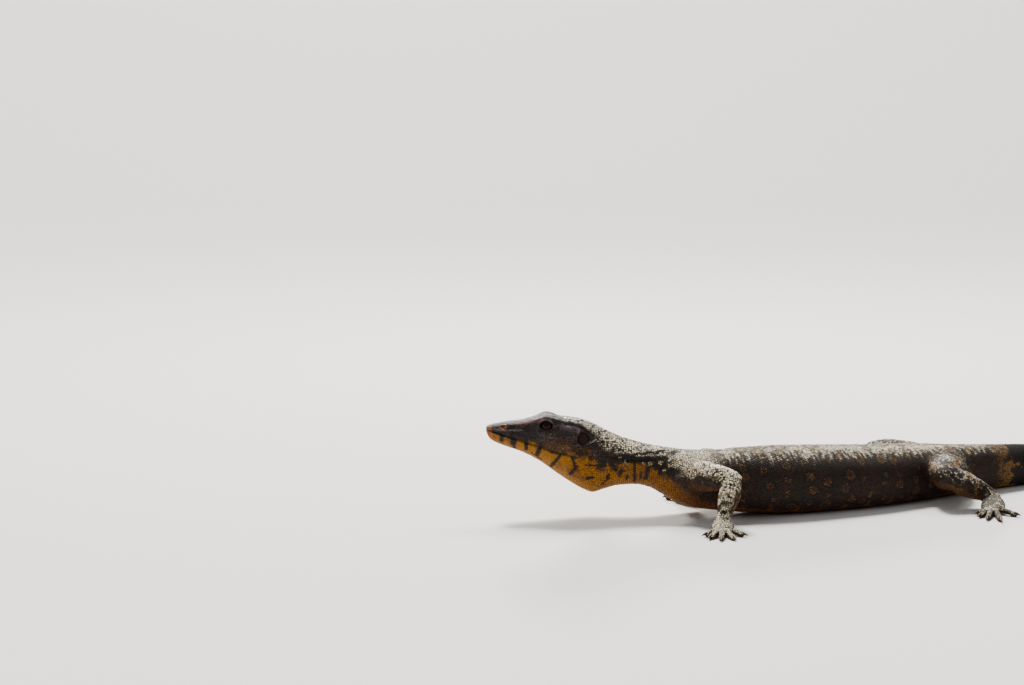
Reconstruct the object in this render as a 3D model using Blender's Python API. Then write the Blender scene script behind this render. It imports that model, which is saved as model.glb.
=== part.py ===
"""Water monitor lizard, a still life-size model of a subadult about one metre long.

It props its chest up on its forelegs and holds its neck and head level in front, while
the belly and the tail lie on the floor behind. It faces -X, and +Y is its right side.
Each part of the body is a closed solid of its own, with a thin gap to the next one.
"""

import math

import bmesh
import bpy
import numpy as np
from mathutils import Matrix, Vector

MM = 0.001
GAP = 0.3 * MM

# Places along the body, measured in plan from the tip of the snout, in metres
NOSTRIL_AT = 0.0122
EYE_AT = 0.0432
MOUTH_CORNER_AT = 0.0610
EAR_AT = 0.0700
HEAD_END = 0.0790
SHOULDER_AT = 0.1460
NECK_END = 0.1290
HIP_AT = 0.3620
VENT_AT = 0.3900
TAIL_PARTS_END = (0.480, 0.600, 0.760)
TAIL_TIP = 0.995

# Lines along the body as (place, value) pairs, in millimetres: the height of the back, of the
# belly and of the widest level over the floor, and the half width there
BACK = ((0, 65.8), (1.2, 66.8), (3.5, 67.7), (9.5, 68.8), (17, 70.2), (23, 70.8), (30, 72.2),
        (36, 73.8), (40, 74.8), (43.5, 75.2), (47, 74.9), (50.5, 74.1), (53.5, 73.6), (60, 73.1),
        (66, 72.2), (72, 70.4), (79, 67.6), (88, 62.8), (100, 57.8), (114, 53.6), (135, 49.8),
        (152, 47.9), (166, 47.8), (183, 48.8), (205, 48.9), (240, 47.2), (290, 43.5), (340, 40.0),
        (390, 35.0), (440, 31.0), (540, 26.0), (640, 20.5), (760, 14.0), (880, 8.2), (960, 4.8),
        (995, 3.0))
BELLY = ((0, 62.2), (1.2, 59.2), (3.5, 56.4), (9.5, 53.3), (16, 51.0), (25, 47.9), (38, 41.3),
         (50, 32.7), (62, 24.6), (71, 19.6), (77, 17.6), (84, 19.6), (96, 22.9), (108, 23.6),
         (118, 21.6), (126, 17.2), (134, 12.4), (146, 7.6), (170, 3.8), (205, 0.8), (240, -0.5),
         (300, -0.9), (390, -0.8), (640, -0.5), (880, -0.3), (995, 0.1))
WIDEST = ((0, 64.4), (6, 63.4), (13, 60.9), (24, 57.6), (38, 53.4), (52, 49.4), (61, 47.6),
          (77, 45.5), (98, 41.0), (122, 36.5), (146, 29.0), (175, 23.5), (240, 18.0), (320, 16.5),
          (390, 15.5), (470, 13.0), (640, 9.0), (880, 3.6), (995, 1.5))
HALF_WIDTH = ((0, 2.4), (1.2, 4.9), (3.5, 7.0), (9.5, 9.2), (17, 10.6), (25, 12.0), (34, 14.0),
              (43, 16.4), (52, 18.0), (61, 18.8), (69, 18.2), (78, 16.6), (90, 15.2), (105, 15.0),
              (120, 16.8), (134, 20.0), (150, 23.0), (180, 26.5), (230, 30.5), (280, 30.5),
              (325, 26.5), (362, 21.0), (392, 16.0), (430, 13.0), (500, 10.2), (640, 7.4),
              (760, 5.2), (880, 3.2), (995, 1.2))
# How square the section is above and below the widest level: 2 is an ellipse, less is a ridge
BACK_SQUARE = ((0, 2.1), (10, 2.6), (30, 2.9), (43, 3.1), (56, 2.8), (70, 2.4), (90, 2.1),
               (146, 2.0), (300, 2.1), (380, 1.95), (450, 1.65), (600, 1.5), (995, 1.5))
BELLY_SQUARE = ((0, 2.0), (20, 2.1), (40, 1.9), (60, 1.65), (76, 1.75), (95, 2.0), (146, 2.2),
                (240, 2.7), (330, 2.6), (400, 2.2), (600, 2.0), (995, 2.0))
# Which way the body points in plan, in degrees from +X towards +Y
HEADING = ((0, 0), (135, 2), (170, 12), (230, 22), (300, 27), (400, 30), (470, 16), (560, -14),
           (660, -24), (760, -8), (860, 10), (995, 24))

# Swellings and hollows of both sides, each (place, lift, length, spread, amount): lift and spread
# are angles in degrees round the section, from the side up, and the others are millimetres
RELIEF = {
    "brow": (44, 58, 7.5, 12, 2.4),
    "canthus": (27, 52, 13, 11, 0.5),
    "cheek before the eye": (33, 27, 7, 13, -0.6),
    "hollow under the brow": (43, 34, 6.5, 11, -0.8),
    "snout swelling": (11, 40, 5, 18, 0.4),
    "jaw muscle": (60, 12, 8, 22, 0.9),
    "temple": (58, 56, 6.5, 13, -0.8),
    "throat side": (66, -35, 10, 20, 0.9),
    "neck fold": (104, 14, 17, 8, -1.0),
    "neck muscle": (98, 42, 16, 18, 0.8),
    "shoulder blade": (150, 46, 15, 24, 1.6),
    "hollow behind the shoulder": (180, 12, 12, 24, -1.0),
    "flank fold": (250, -8, 60, 12, 0.9),
    "hip bone": (360, 48, 14, 22, 1.5),
}
MOUTH_GROOVE = 0.7
LIP_SWELL = 0.35

# The angles of the section's points from the side up to the back and down to the belly, in
# degrees: close together at the mouth line on the head, even elsewhere
HEAD_ANGLES = (-72, -55, -40, -27, -16, -8.5, -3.2, 0, 3.2, 8.5, 17, 27, 37, 47, 57, 67, 78)
NECK_SEGMENTS = 30
TORSO_SEGMENTS = 32
TAIL_SEGMENTS = (22, 18, 14, 10)
FIRST_RINGS = (0, 0.5, 1.4, 3, 5, 7.6, 10.5)

EYE_RADIUS = 5.2 * MM
EYE_SUNK = 4.35 * MM
EYE_LIFT = 69.5 * MM
EYE_OUT = 14.2 * MM
LID_LENGTH, LID_HEIGHT, LID_THICK = 5.4 * MM, 3.6 * MM, 0.75 * MM
NOSTRIL_LIFT, NOSTRIL_OUT = 68.1 * MM, 8.2 * MM
NOSTRIL_SIZE = (2.6 * MM, 1.6 * MM, 1.5 * MM)
EAR_LIFT, EAR_OUT = 60.0 * MM, 17.0 * MM
EAR_SIZE = (4.5 * MM, 2.6 * MM, 5.0 * MM)
EARDRUM_THICK = 0.6 * MM

# Limbs: the root inside the body, the elbow or knee, the wrist or ankle and the knuckles, each
# (forward of the shoulder or the hip, out from the midline, height over the floor), in mm
ARM_LEFT = ((3, 8, 32), (-27, 47, 35), (-18, 58, 9.5), (-16, 71, 3))
ARM_RIGHT = ((3, 8, 32), (-24, 37, 36), (-5, 37, 9.5), (-4, 51, 3))
LEG_LEFT = ((-2, 4, 20), (36, 46, 25), (4, 64, 9), (17, 79, 3.2))
LEG_RIGHT = ((-2, 4, 20), (26, 54, 26), (-8, 74, 9), (-2, 91, 3.2))
# Half width and half thickness of each bone's flesh at its start, thirds and end, in mm
UPPER_ARM = ((13, 12), (11.4, 11), (9.4, 9.4), (8.0, 8.0))
FOREARM = ((6.4, 6.4), (8.6, 8), (7, 6.6), (5.4, 5))
THIGH = ((16, 14), (15.5, 13.5), (13, 12.5), (10.2, 10.2))
SHANK = ((8, 8), (10, 9.4), (8, 7.6), (6, 5.6))
LIMB_SIDES = 14
# Share of the palm's length, half width and half thickness, as shares of the wrist's half width
PALM_SHAPE = ((0, 0.45, 0.4), (0.12, 0.85, 0.72), (0.35, 1.15, 0.85), (0.65, 1.5, 0.76),
              (0.88, 1.4, 0.62), (1, 1.0, 0.42))
# Digits from the inner one out: length, claw length, and direction in plan from the palm's own
FINGERS = ((13, 6.4, 50), (18, 7.4, 25), (20, 7.8, 2), (19, 7.6, -22), (14, 6.6, -62))
TOES = ((13, 6.2, 44), (19, 7.2, 24), (25, 7.8, 6), (29, 7.8, -12), (18, 6.6, -58))
# Share of a digit's length, height over its root in mm, and share of its radius there
DIGIT_SHAPE = ((0, 0, 1.1), (0.3, 0.9, 1), (0.6, 0.3, 0.86), (0.82, -0.6, 0.84), (0.96, -0.8, 0.66),
               (1, -0.8, 0.4))
DIGIT_RADIUS = 2.5 * MM
DIGIT_SUNK, DIGIT_SPREAD, DIGIT_HEIGHT = 4.0 * MM, 2.6 * MM, 2.5 * MM
CLAW_RADIUS, CLAW_SUNK, CLAW_LIFT = 1.35 * MM, 1.6 * MM, 0.9 * MM
CLAW_BEND, CLAW_DROP = math.radians(62), 0.4
SOLE_CUTTER = 0.2

SKIN_DARK = (0.055, 0.045, 0.035)
SKIN_OCHRE = (0.46, 0.27, 0.06)
EYE_BROWN = (0.05, 0.02, 0.012)
UP = Vector((0, 0, 1))


def clear_scene():
    for item in list(bpy.data.objects):
        bpy.data.objects.remove(item)


def make_material(name, colour, roughness):
    material = bpy.data.materials.new(name)
    material.use_nodes = True
    shader = material.node_tree.nodes["Principled BSDF"]
    shader.inputs["Base Color"].default_value = (*colour, 1)
    shader.inputs["Roughness"].default_value = roughness
    return material


def smooth_line(points, at):
    """The value at each place of the smooth line through a few points, with no overshoot."""
    places, values = np.array(points, float).T
    steps = np.diff(places)
    slopes = np.diff(values) / steps
    tangents = np.zeros(len(values))
    tangents[0], tangents[-1] = slopes[0], slopes[-1]
    for i in range(1, len(values) - 1):
        before, after = slopes[i - 1], slopes[i]
        if before * after > 0:
            w_before = 2 * steps[i] + steps[i - 1]
            w_after = steps[i] + 2 * steps[i - 1]
            tangents[i] = (w_before + w_after) / (w_before / before + w_after / after)
    at = np.clip(at, places[0], places[-1])
    k = np.clip(np.searchsorted(places, at, "right") - 1, 0, len(steps) - 1)
    t = (at - places[k]) / steps[k]
    bend_in = (1 - t) ** 2 * t * tangents[k] * steps[k]
    bend_out = (1 - t) * t**2 * tangents[k + 1] * steps[k]
    ease = t * t * (3 - 2 * t)
    return values[k] * (1 - ease) + values[k + 1] * ease + bend_in - bend_out


def plan(along):
    """Where the midline is in plan, and its heading in radians, at a distance from the snout in mm.
    The midline passes the shoulder at X 0, Y 0."""
    fine = np.arange(0, TAIL_TIP / MM + 1)
    heading = np.radians(smooth_line(HEADING, fine))
    x = np.concatenate([[0], np.cumsum((np.cos(heading[1:]) + np.cos(heading[:-1])) / 2)])
    y = np.concatenate([[0], np.cumsum((np.sin(heading[1:]) + np.sin(heading[:-1])) / 2)])
    shoulder = SHOULDER_AT / MM
    x -= np.interp(shoulder, fine, x)
    y -= np.interp(shoulder, fine, y)
    return np.interp(along, fine, x), np.interp(along, fine, y), np.interp(along, fine, heading)


def relief(along, lift):
    """How far the surface stands out, in mm, at a place along the body and a lift in degrees."""
    out = np.zeros(np.broadcast(along, lift).shape)
    for place, angle, length, spread, amount in RELIEF.values():
        out += amount * np.exp(-(((along - place) / length) ** 2) - ((lift - angle) / spread) ** 2)
    corner = MOUTH_CORNER_AT / MM
    in_mouth = np.clip((corner - along) / 3, 0, 1) * np.clip(along / 2, 0, 1)
    out -= in_mouth * MOUTH_GROOVE * np.exp(-((lift / 2.4) ** 2))
    out += in_mouth * LIP_SWELL * np.exp(-(((np.abs(lift) - 8) / 4) ** 2))
    return out


def body_points(along, around, extra=0.0):
    """Points of the surface in metres, at distances from the snout in mm and angles in degrees:
    0 is the right side, 90 the back, 180 the left side. extra in mm makes the body fatter."""
    s, a = np.meshgrid(np.asarray(along, float), np.radians(around), indexing="ij")
    back, belly = smooth_line(BACK, s) + extra, smooth_line(BELLY, s) - extra
    widest, half = smooth_line(WIDEST, s), smooth_line(HALF_WIDTH, s) + extra
    up = np.sin(a) >= 0
    power = 2 / np.where(up, smooth_line(BACK_SQUARE, s), smooth_line(BELLY_SQUARE, s))
    across = half * np.sign(np.cos(a)) * np.abs(np.cos(a)) ** power
    rise = np.where(up, back - widest, widest - belly) * np.sign(np.sin(a))
    height = rise * np.abs(np.sin(a)) ** power
    lift = np.degrees(np.arctan2(np.sin(a), np.abs(np.cos(a))))
    reach = np.hypot(across, height) + 1e-9
    grow = 1 + relief(s, lift) / reach
    across, height = across * grow, widest + height * grow
    x, y, heading = plan(s)
    return np.stack([
        x - np.sin(heading) * across,
        y + np.cos(heading) * across,
        np.maximum(height, -extra),
    ], axis=-1) * MM


def beside(along, forward, out, height, side):
    """A point placed from the midline: mm forward of a place along the body and out to a side."""
    x, y, heading = (float(v) for v in plan(along / MM))
    return Vector((
        x - math.cos(heading) * forward - math.sin(heading) * out * side,
        y - math.sin(heading) * forward + math.cos(heading) * out * side,
        height,
    )) * MM


def add_mesh(name, bm, material):
    bmesh.ops.recalc_face_normals(bm, faces=bm.faces)
    if bm.calc_volume(signed=True) < 0:
        bmesh.ops.reverse_faces(bm, faces=bm.faces)
    mesh = bpy.data.meshes.new(name)
    bm.to_mesh(mesh)
    bm.free()
    mesh.materials.append(material)
    obj = bpy.data.objects.new(name, mesh)
    parts.objects.link(obj)
    return obj


def loft(name, rings, material):
    """A closed solid through rings of points, each ring with the same number of points."""
    bm = bmesh.new()
    made = [[bm.verts.new(point) for point in ring] for ring in rings]
    count = len(made[0])
    for one, two in zip(made, made[1:]):
        for i in range(count):
            j = (i + 1) % count
            bm.faces.new((one[i], one[j], two[j], two[i]))
    for ring in (made[0], made[-1]):
        centre = bm.verts.new(sum((v.co for v in ring), Vector()) / count)
        for i in range(count):
            bm.faces.new((ring[i], ring[(i + 1) % count], centre))
    bmesh.ops.remove_doubles(bm, verts=bm.verts, dist=0.02 * MM)
    return add_mesh(name, bm, material)


def ellipsoid(name, centre, size, turn, material, segments=20, rings=12):
    bm = bmesh.new()
    bmesh.ops.create_uvsphere(bm, u_segments=segments, v_segments=rings, radius=1)
    bm.transform(Matrix.Translation(centre) @ turn.to_4x4() @ Matrix.Diagonal((*size, 1)))
    return add_mesh(name, bm, material)


def baked(obj):
    """Applies the object's modifiers, so that its mesh is the finished shape."""
    graph = bpy.context.evaluated_depsgraph_get()
    mesh = bpy.data.meshes.new_from_object(obj.evaluated_get(graph))
    obj.modifiers.clear()
    obj.data = mesh
    return obj


def keep_largest(obj):
    """Drops all but the largest closed surface of the mesh."""
    bm = bmesh.new()
    bm.from_mesh(obj.data)
    groups, seen = [], set()
    for start in bm.verts:
        if start in seen:
            continue
        group, waiting = [], [start]
        seen.add(start)
        while waiting:
            vert = waiting.pop()
            group.append(vert)
            for edge in vert.link_edges:
                other = edge.other_vert(vert)
                if other not in seen:
                    seen.add(other)
                    waiting.append(other)
        groups.append(group)
    largest = max(groups, key=lambda group: sum(f.calc_area() for v in group for f in v.link_faces))
    drop = [vert for group in groups if group is not largest for vert in group]
    bmesh.ops.delete(bm, geom=drop, context="VERTS")
    bm.to_mesh(obj.data)
    bm.free()
    return obj


def combine(obj, others, operation):
    """Joins other meshes to the object, or cuts them from it, in one Boolean, and removes them."""
    group = bpy.data.collections.new(obj.name + " tools")
    bpy.context.scene.collection.children.link(group)
    for other in others:
        parts.objects.unlink(other)
        group.objects.link(other)
    modifier = obj.modifiers.new(operation.title(), "BOOLEAN")
    modifier.operation = operation
    modifier.operand_type = "COLLECTION"
    modifier.collection = group
    modifier.solver = "EXACT"
    modifier.use_self = operation == "UNION"
    baked(obj)
    for other in others:
        bpy.data.objects.remove(other)
    bpy.data.collections.remove(group)
    return keep_largest(obj)


def even_rings(start, end, count):
    return np.linspace(start / MM, end / MM, count)


def surface_frame(along, lift, out, side):
    """A point on the head's side and the turn that points +Y out of the skin there."""
    point = beside(along, 0, out / MM, lift / MM, side)
    nearby = body_points([along / MM - 1, along / MM + 1], np.arange(0, 360, 2.0))
    ring = (nearby[0] + nearby[1]) / 2
    i = int(np.argmin(np.linalg.norm(ring - np.array(point), axis=1)))
    lengthwise = Vector(nearby[1][i] - nearby[0][i]).normalized()
    round_it = Vector(ring[(i + 1) % len(ring)] - ring[i - 1]).normalized()
    outward = lengthwise.cross(round_it)
    if outward.y * side < 0:
        outward.negate()
    upward = outward.cross(lengthwise).normalized()
    if upward.z < 0:
        upward.negate()
    turn = Matrix((upward.cross(outward) * -1, outward, upward)).transposed()
    return Vector(ring[i]), turn


def lid_rim(name, centre, turn, material):
    """The raised edge of the eyelids, an almond-shaped ring lying on the skin."""
    steps, sides = 22, 6
    rings = []
    for i in range(steps):
        t = 2 * math.pi * i / steps
        thick = LID_THICK * (1.25 if math.sin(t) > 0 else 0.9)
        pointed = abs(math.sin(t)) ** 1.15 * math.copysign(1, math.sin(t))
        ring = []
        for j in range(sides):
            u = 2 * math.pi * j / sides
            grow = math.cos(u) * thick
            ring.append(centre + turn @ Vector((
                math.cos(t) * (LID_LENGTH + grow),
                math.sin(u) * thick - 0.2 * MM,
                pointed * (LID_HEIGHT + grow),
            )))
        rings.append(ring)
    bm = bmesh.new()
    made = [[bm.verts.new(point) for point in ring] for ring in rings]
    for i in range(steps):
        one, two = made[i], made[(i + 1) % steps]
        for j in range(sides):
            k = (j + 1) % sides
            bm.faces.new((one[j], one[k], two[k], two[j]))
    return add_mesh(name, bm, material)


def make_head():
    """The head with its lips, nostrils, eyelids and ear openings, and the eyes and eardrums."""
    side = list(HEAD_ANGLES)
    around = side + [90] + [180 - a for a in reversed(side)] + [270]
    rings = np.concatenate([FIRST_RINGS, np.linspace(13.5, HEAD_END / MM, 24)])
    head = loft("head", body_points(rings, around), skin)
    rims, cutters = [], []
    for label, sign in SIDES:
        at_eye, turn = surface_frame(EYE_AT, EYE_LIFT, EYE_OUT, sign)
        middle = at_eye - turn @ Vector((0, EYE_SUNK, 0))
        rims.append(lid_rim(f"lid {label}", at_eye, turn, skin))
        opening = (LID_LENGTH - LID_THICK * 0.6, 3.2 * MM, LID_HEIGHT - LID_THICK * 0.6)
        cutters.append(ellipsoid(f"eye opening {label}", at_eye, opening, turn, skin, 18, 8))
        socket = (EYE_RADIUS + GAP,) * 3
        cutters.append(ellipsoid(f"socket {label}", middle, socket, turn, skin, 20, 12))
        ellipsoid(f"eye_{label}", middle, (EYE_RADIUS,) * 3, turn, eye_glass, 18, 10)
        at_nostril, tilt = surface_frame(NOSTRIL_AT, NOSTRIL_LIFT, NOSTRIL_OUT, sign)
        cutters.append(ellipsoid(f"nostril {label}", at_nostril, NOSTRIL_SIZE, tilt, skin, 12, 8))
        at_ear, tilt = surface_frame(EAR_AT, EAR_LIFT, EAR_OUT, sign)
        cutters.append(ellipsoid(f"ear {label}", at_ear, EAR_SIZE, tilt, skin, 18, 10))
        make_eardrum(label, at_ear, tilt)
    combine(head, rims, "UNION")
    combine(head, cutters, "DIFFERENCE")


def make_eardrum(label, at_ear, turn):
    """A thin disc that lies across the ear opening, a little way in."""
    bm = bmesh.new()
    bmesh.ops.create_cone(bm, cap_ends=True, segments=16, radius1=1, radius2=1, depth=1)
    depth = EAR_SIZE[1] * 0.42
    shrink = math.sqrt(1 - 0.55**2)
    size = (EAR_SIZE[0] * shrink - GAP, EAR_SIZE[2] * shrink - GAP, EARDRUM_THICK)
    flat = Matrix.Rotation(math.radians(90), 4, "X")
    place = Matrix.Translation(at_ear - turn @ Vector((0, depth, 0))) @ turn.to_4x4()
    bm.transform(place @ flat @ Matrix.Diagonal((*size, 1)))
    add_mesh(f"eardrum_{label}", bm, skin_dark)


def make_trunk():
    around = np.arange(NECK_SEGMENTS) * 360 / NECK_SEGMENTS + 90
    rings = even_rings(HEAD_END + GAP, NECK_END, 12)
    loft("neck", body_points(rings, around), skin)
    around = np.arange(TORSO_SEGMENTS) * 360 / TORSO_SEGMENTS + 90
    rings = even_rings(NECK_END + GAP, VENT_AT, 37)
    loft("torso", body_points(rings, around), skin)
    start = VENT_AT
    names = ("tail_base", "tail_front", "tail_middle", "tail_end")
    for name, end, segments in zip(names, (*TAIL_PARTS_END, TAIL_TIP), TAIL_SEGMENTS):
        around = np.arange(segments) * 360 / segments + 90
        count = 4 + round((end - start) / 0.0125)
        loft(name, body_points(even_rings(start + GAP, end, count), around), skin)
        start = end


def fat_torso(extra):
    """The torso a little fatter and longer at both ends, for cutting what grows from it."""
    around = np.arange(TORSO_SEGMENTS) * 360 / TORSO_SEGMENTS + 90
    rings = even_rings(NECK_END - 0.01, VENT_AT + 0.01, 44)
    return loft("fat torso", body_points(rings, around, extra), skin)


def sleeve(points, wide, thick, normal, sides):
    """Rings of an oval tube along points. Its thickness lies as near as can be along normal."""
    rings = []
    for i, point in enumerate(points):
        along = (points[min(i + 1, len(points) - 1)] - points[max(i - 1, 0)]).normalized()
        across = along.cross(normal).normalized()
        up = across.cross(along)
        ring = []
        for k in range(sides):
            t = 2 * math.pi * (k + 0.5) / sides
            ring.append(point + across * (math.cos(t) * wide[i]) + up * (math.sin(t) * thick[i]))
        rings.append(ring)
    return rings


def bone(name, start, end, sizes, normal, grow=0.0):
    """The flesh of one bone, a tube of oval section with rounded ends, fatter by grow."""
    way = (end - start).normalized()
    length = (end - start).length
    key = np.linspace(0, length, len(sizes))
    first, last = sizes[0][1] * MM + grow, sizes[-1][1] * MM + grow
    arc = np.radians((8, 30, 55, 75))
    places = np.concatenate([
        -first * np.cos(arc), np.linspace(0, length, 7), length + last * np.cos(arc[::-1])
    ])
    share = np.concatenate([np.sin(arc), np.ones(7), np.sin(arc[::-1])])
    wide, thick = (
        (smooth_line([(k, size[i] * MM) for k, size in zip(key, sizes)], places) + grow) * share
        for i in (0, 1)
    )
    points = [start + way * place for place in places]
    return loft(name, sleeve(points, wide, thick, normal, LIMB_SIDES), skin)


def make_limb(names, joints, at, sign, sizes, digits):
    """A limb as three solids: upper part, lower part, and the foot with its digits and claws."""
    root, elbow, wrist, knuckles = [
        beside(at, forward, out, height, sign) for forward, out, height in joints
    ]
    normal = (elbow - root).cross(wrist - elbow).normalized()
    upper = bone(names[0], root, elbow, sizes[0], normal)
    lower = bone(names[1], elbow, wrist, sizes[1], normal)
    foot = make_palm(names[2], wrist, knuckles, sizes[1][-1][0] * MM)
    combine(foot, make_digits(names[2], wrist, knuckles, sign, digits), "UNION")
    grown_upper = bone("grown upper part", root, elbow, sizes[0], normal, GAP)
    grown_lower = bone("grown lower part", elbow, wrist, sizes[1], normal, GAP)
    combine(upper, [fat_torso(GAP / MM)], "DIFFERENCE")
    combine(lower, [grown_upper, below_floor(wrist)], "DIFFERENCE")
    combine(foot, [grown_lower, below_floor(knuckles)], "DIFFERENCE")


def make_palm(name, wrist, knuckles, wide):
    """The palm or the sole from behind the wrist to the knuckles, widest near its front."""
    ahead = (knuckles - wrist).normalized()
    start = wrist - ahead * wide * 0.75
    reach = (knuckles - start) * 1.12
    points = [start + reach * share for share, _, _ in PALM_SHAPE]
    radius = np.array([(across, deep) for _, across, deep in PALM_SHAPE]) * wide
    return loft(name, sleeve(points, radius[:, 0], radius[:, 1], UP, 12), skin)


def below_floor(middle):
    """A block with its top at the floor, which cuts the soles flat."""
    bm = bmesh.new()
    bmesh.ops.create_cube(bm, size=SOLE_CUTTER)
    bm.transform(Matrix.Translation((middle.x, middle.y, -SOLE_CUTTER / 2)))
    return add_mesh("below floor", bm, skin)


def make_digits(name, wrist, knuckles, sign, digits):
    """Five bent digits that fan out of the palm, each with a curved claw sunk in its tip."""
    pieces = []
    ahead = Vector((knuckles.x - wrist.x, knuckles.y - wrist.y, 0)).normalized()
    for i, (length, claw, turn) in enumerate(digits):
        way = Matrix.Rotation(math.radians(turn * sign), 3, "Z") @ ahead
        length, claw = length * MM, claw * MM
        root = knuckles - ahead * DIGIT_SUNK + way * DIGIT_SPREAD
        root.z = DIGIT_HEIGHT
        points = [root + way * length * a + UP * b * MM for a, b, _ in DIGIT_SHAPE]
        radius = np.array([thick for _, _, thick in DIGIT_SHAPE]) * DIGIT_RADIUS
        rings = sleeve(points, radius, radius * 0.95, UP, 8)
        pieces.append(loft(f"{name} digit {i}", rings, skin))
        pieces.append(make_claw(f"{name} claw {i}", points[-1], way, claw))
    return pieces


def make_claw(name, tip, way, length):
    """A claw: a cone bent down along an arc, flattened from side to side."""
    steps = 5
    points, radius = [], []
    for k in range(steps):
        share = k / (steps - 1)
        bend = CLAW_BEND * share
        reach = length / CLAW_BEND * math.sin(bend)
        drop = length / CLAW_BEND * (1 - math.cos(bend))
        point = tip + way * (reach - CLAW_SUNK) + UP * (CLAW_LIFT - drop * CLAW_DROP)
        points.append(point)
        radius.append(CLAW_RADIUS * (1 - 0.86 * share))
    radius = np.array(radius)
    return loft(name, sleeve(points, radius * 0.75, radius, UP, 6), claw_horn)


def stand_at_origin():
    """Moves everything so that the middle of the model's box in plan is at the origin."""
    corners = np.array([
        obj.matrix_world @ Vector(corner) for obj in parts.objects for corner in obj.bound_box
    ])
    middle = (corners.min(axis=0) + corners.max(axis=0)) / 2
    for obj in parts.objects:
        obj.data.transform(Matrix.Translation((-middle[0], -middle[1], 0)))
        obj.data.shade_smooth()
        obj.data.set_sharp_from_angle(angle=math.radians(50))


SIDES = (("left", -1), ("right", 1))

clear_scene()
parts = bpy.data.collections.new("Water monitor")
bpy.context.scene.collection.children.link(parts)
skin = make_material("Skin", SKIN_OCHRE, 0.55)
skin_dark = make_material("Eardrum", SKIN_DARK, 0.5)
eye_glass = make_material("Eye", EYE_BROWN, 0.08)
claw_horn = make_material("Claw", SKIN_DARK, 0.3)

make_head()
make_trunk()
for side_name, side_sign, arm, leg in (
    ("left", -1, ARM_LEFT, LEG_LEFT),
    ("right", 1, ARM_RIGHT, LEG_RIGHT),
):
    arm_names = [f"{part}_{side_name}" for part in ("upper_arm", "forearm", "hand")]
    make_limb(arm_names, arm, SHOULDER_AT, side_sign, (UPPER_ARM, FOREARM), FINGERS)
    leg_names = [f"{part}_{side_name}" for part in ("thigh", "shank", "foot")]
    make_limb(leg_names, leg, HIP_AT, side_sign, (THIGH, SHANK), TOES)
stand_at_origin()
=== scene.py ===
"""A still, life-size water monitor lizard: its skin, scales, eyes, eardrums and claws."""

import math
from types import SimpleNamespace

import bmesh
import bpy
import numpy as np
from mathutils import Matrix, Vector
from mathutils.bvhtree import BVHTree
from mathutils.kdtree import KDTree


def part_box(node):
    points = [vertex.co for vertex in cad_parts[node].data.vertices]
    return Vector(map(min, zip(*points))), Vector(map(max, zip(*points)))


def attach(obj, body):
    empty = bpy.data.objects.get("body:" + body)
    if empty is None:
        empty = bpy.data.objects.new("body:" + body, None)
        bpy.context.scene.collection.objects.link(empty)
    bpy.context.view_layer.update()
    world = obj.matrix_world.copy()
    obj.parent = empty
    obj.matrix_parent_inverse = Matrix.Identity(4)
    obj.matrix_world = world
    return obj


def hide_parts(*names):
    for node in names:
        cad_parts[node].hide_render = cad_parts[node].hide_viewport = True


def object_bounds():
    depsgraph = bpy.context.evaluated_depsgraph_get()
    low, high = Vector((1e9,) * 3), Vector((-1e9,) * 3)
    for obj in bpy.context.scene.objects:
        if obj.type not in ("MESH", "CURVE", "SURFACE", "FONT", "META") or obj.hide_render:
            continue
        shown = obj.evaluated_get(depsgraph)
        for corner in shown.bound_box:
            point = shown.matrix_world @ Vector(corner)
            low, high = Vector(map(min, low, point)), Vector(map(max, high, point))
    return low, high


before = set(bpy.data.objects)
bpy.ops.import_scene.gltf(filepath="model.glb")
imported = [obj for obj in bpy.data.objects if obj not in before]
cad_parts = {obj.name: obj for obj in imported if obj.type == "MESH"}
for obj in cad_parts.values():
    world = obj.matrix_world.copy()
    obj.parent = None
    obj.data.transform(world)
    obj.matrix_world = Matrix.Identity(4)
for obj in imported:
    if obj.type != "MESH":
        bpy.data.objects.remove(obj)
cad_box = [list(corner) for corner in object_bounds()]

# Camera, light and floor. The camera looks at the animal's left side from a little above and
# from about two metres off. A broad light behind and above draws a bright edge along its back,
# and a softer one in front opens the shadows.
MM = 0.001
CAMERA_LIFT = math.radians(8.5)
CAMERA_AWAY = 2.048
AIM_FROM_EYES = Vector((-25.25, 0, 58.8)) * MM
LENS = 100
FLOOR_SIDE = 90
eye_boxes = [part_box(f"eye_{side}") for side in ("left", "right")]
between_eyes = sum((low + high for low, high in eye_boxes), Vector()) / 4
aim = between_eyes + AIM_FROM_EYES
towards_camera = Vector((0, -math.cos(CAMERA_LIFT), math.sin(CAMERA_LIFT)))
bpy.ops.object.camera_add(location=aim + towards_camera * CAMERA_AWAY)
camera = bpy.context.object
camera.rotation_euler = towards_camera.to_track_quat("Z", "Y").to_euler()
camera.data.lens = LENS
camera.data.clip_start, camera.data.clip_end = 0.05, 30
bpy.context.scene.camera = camera


def add_light(name, place, target, size, watts, colour):
    bpy.ops.object.light_add(type="AREA", location=place)
    light = bpy.context.object
    light.name = name
    light.data.shape, light.data.size, light.data.size_y = "RECTANGLE", *size
    light.data.energy, light.data.color = watts, colour
    light.rotation_euler = (Vector(place) - Vector(target)).to_track_quat("Z", "Y").to_euler()


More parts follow.
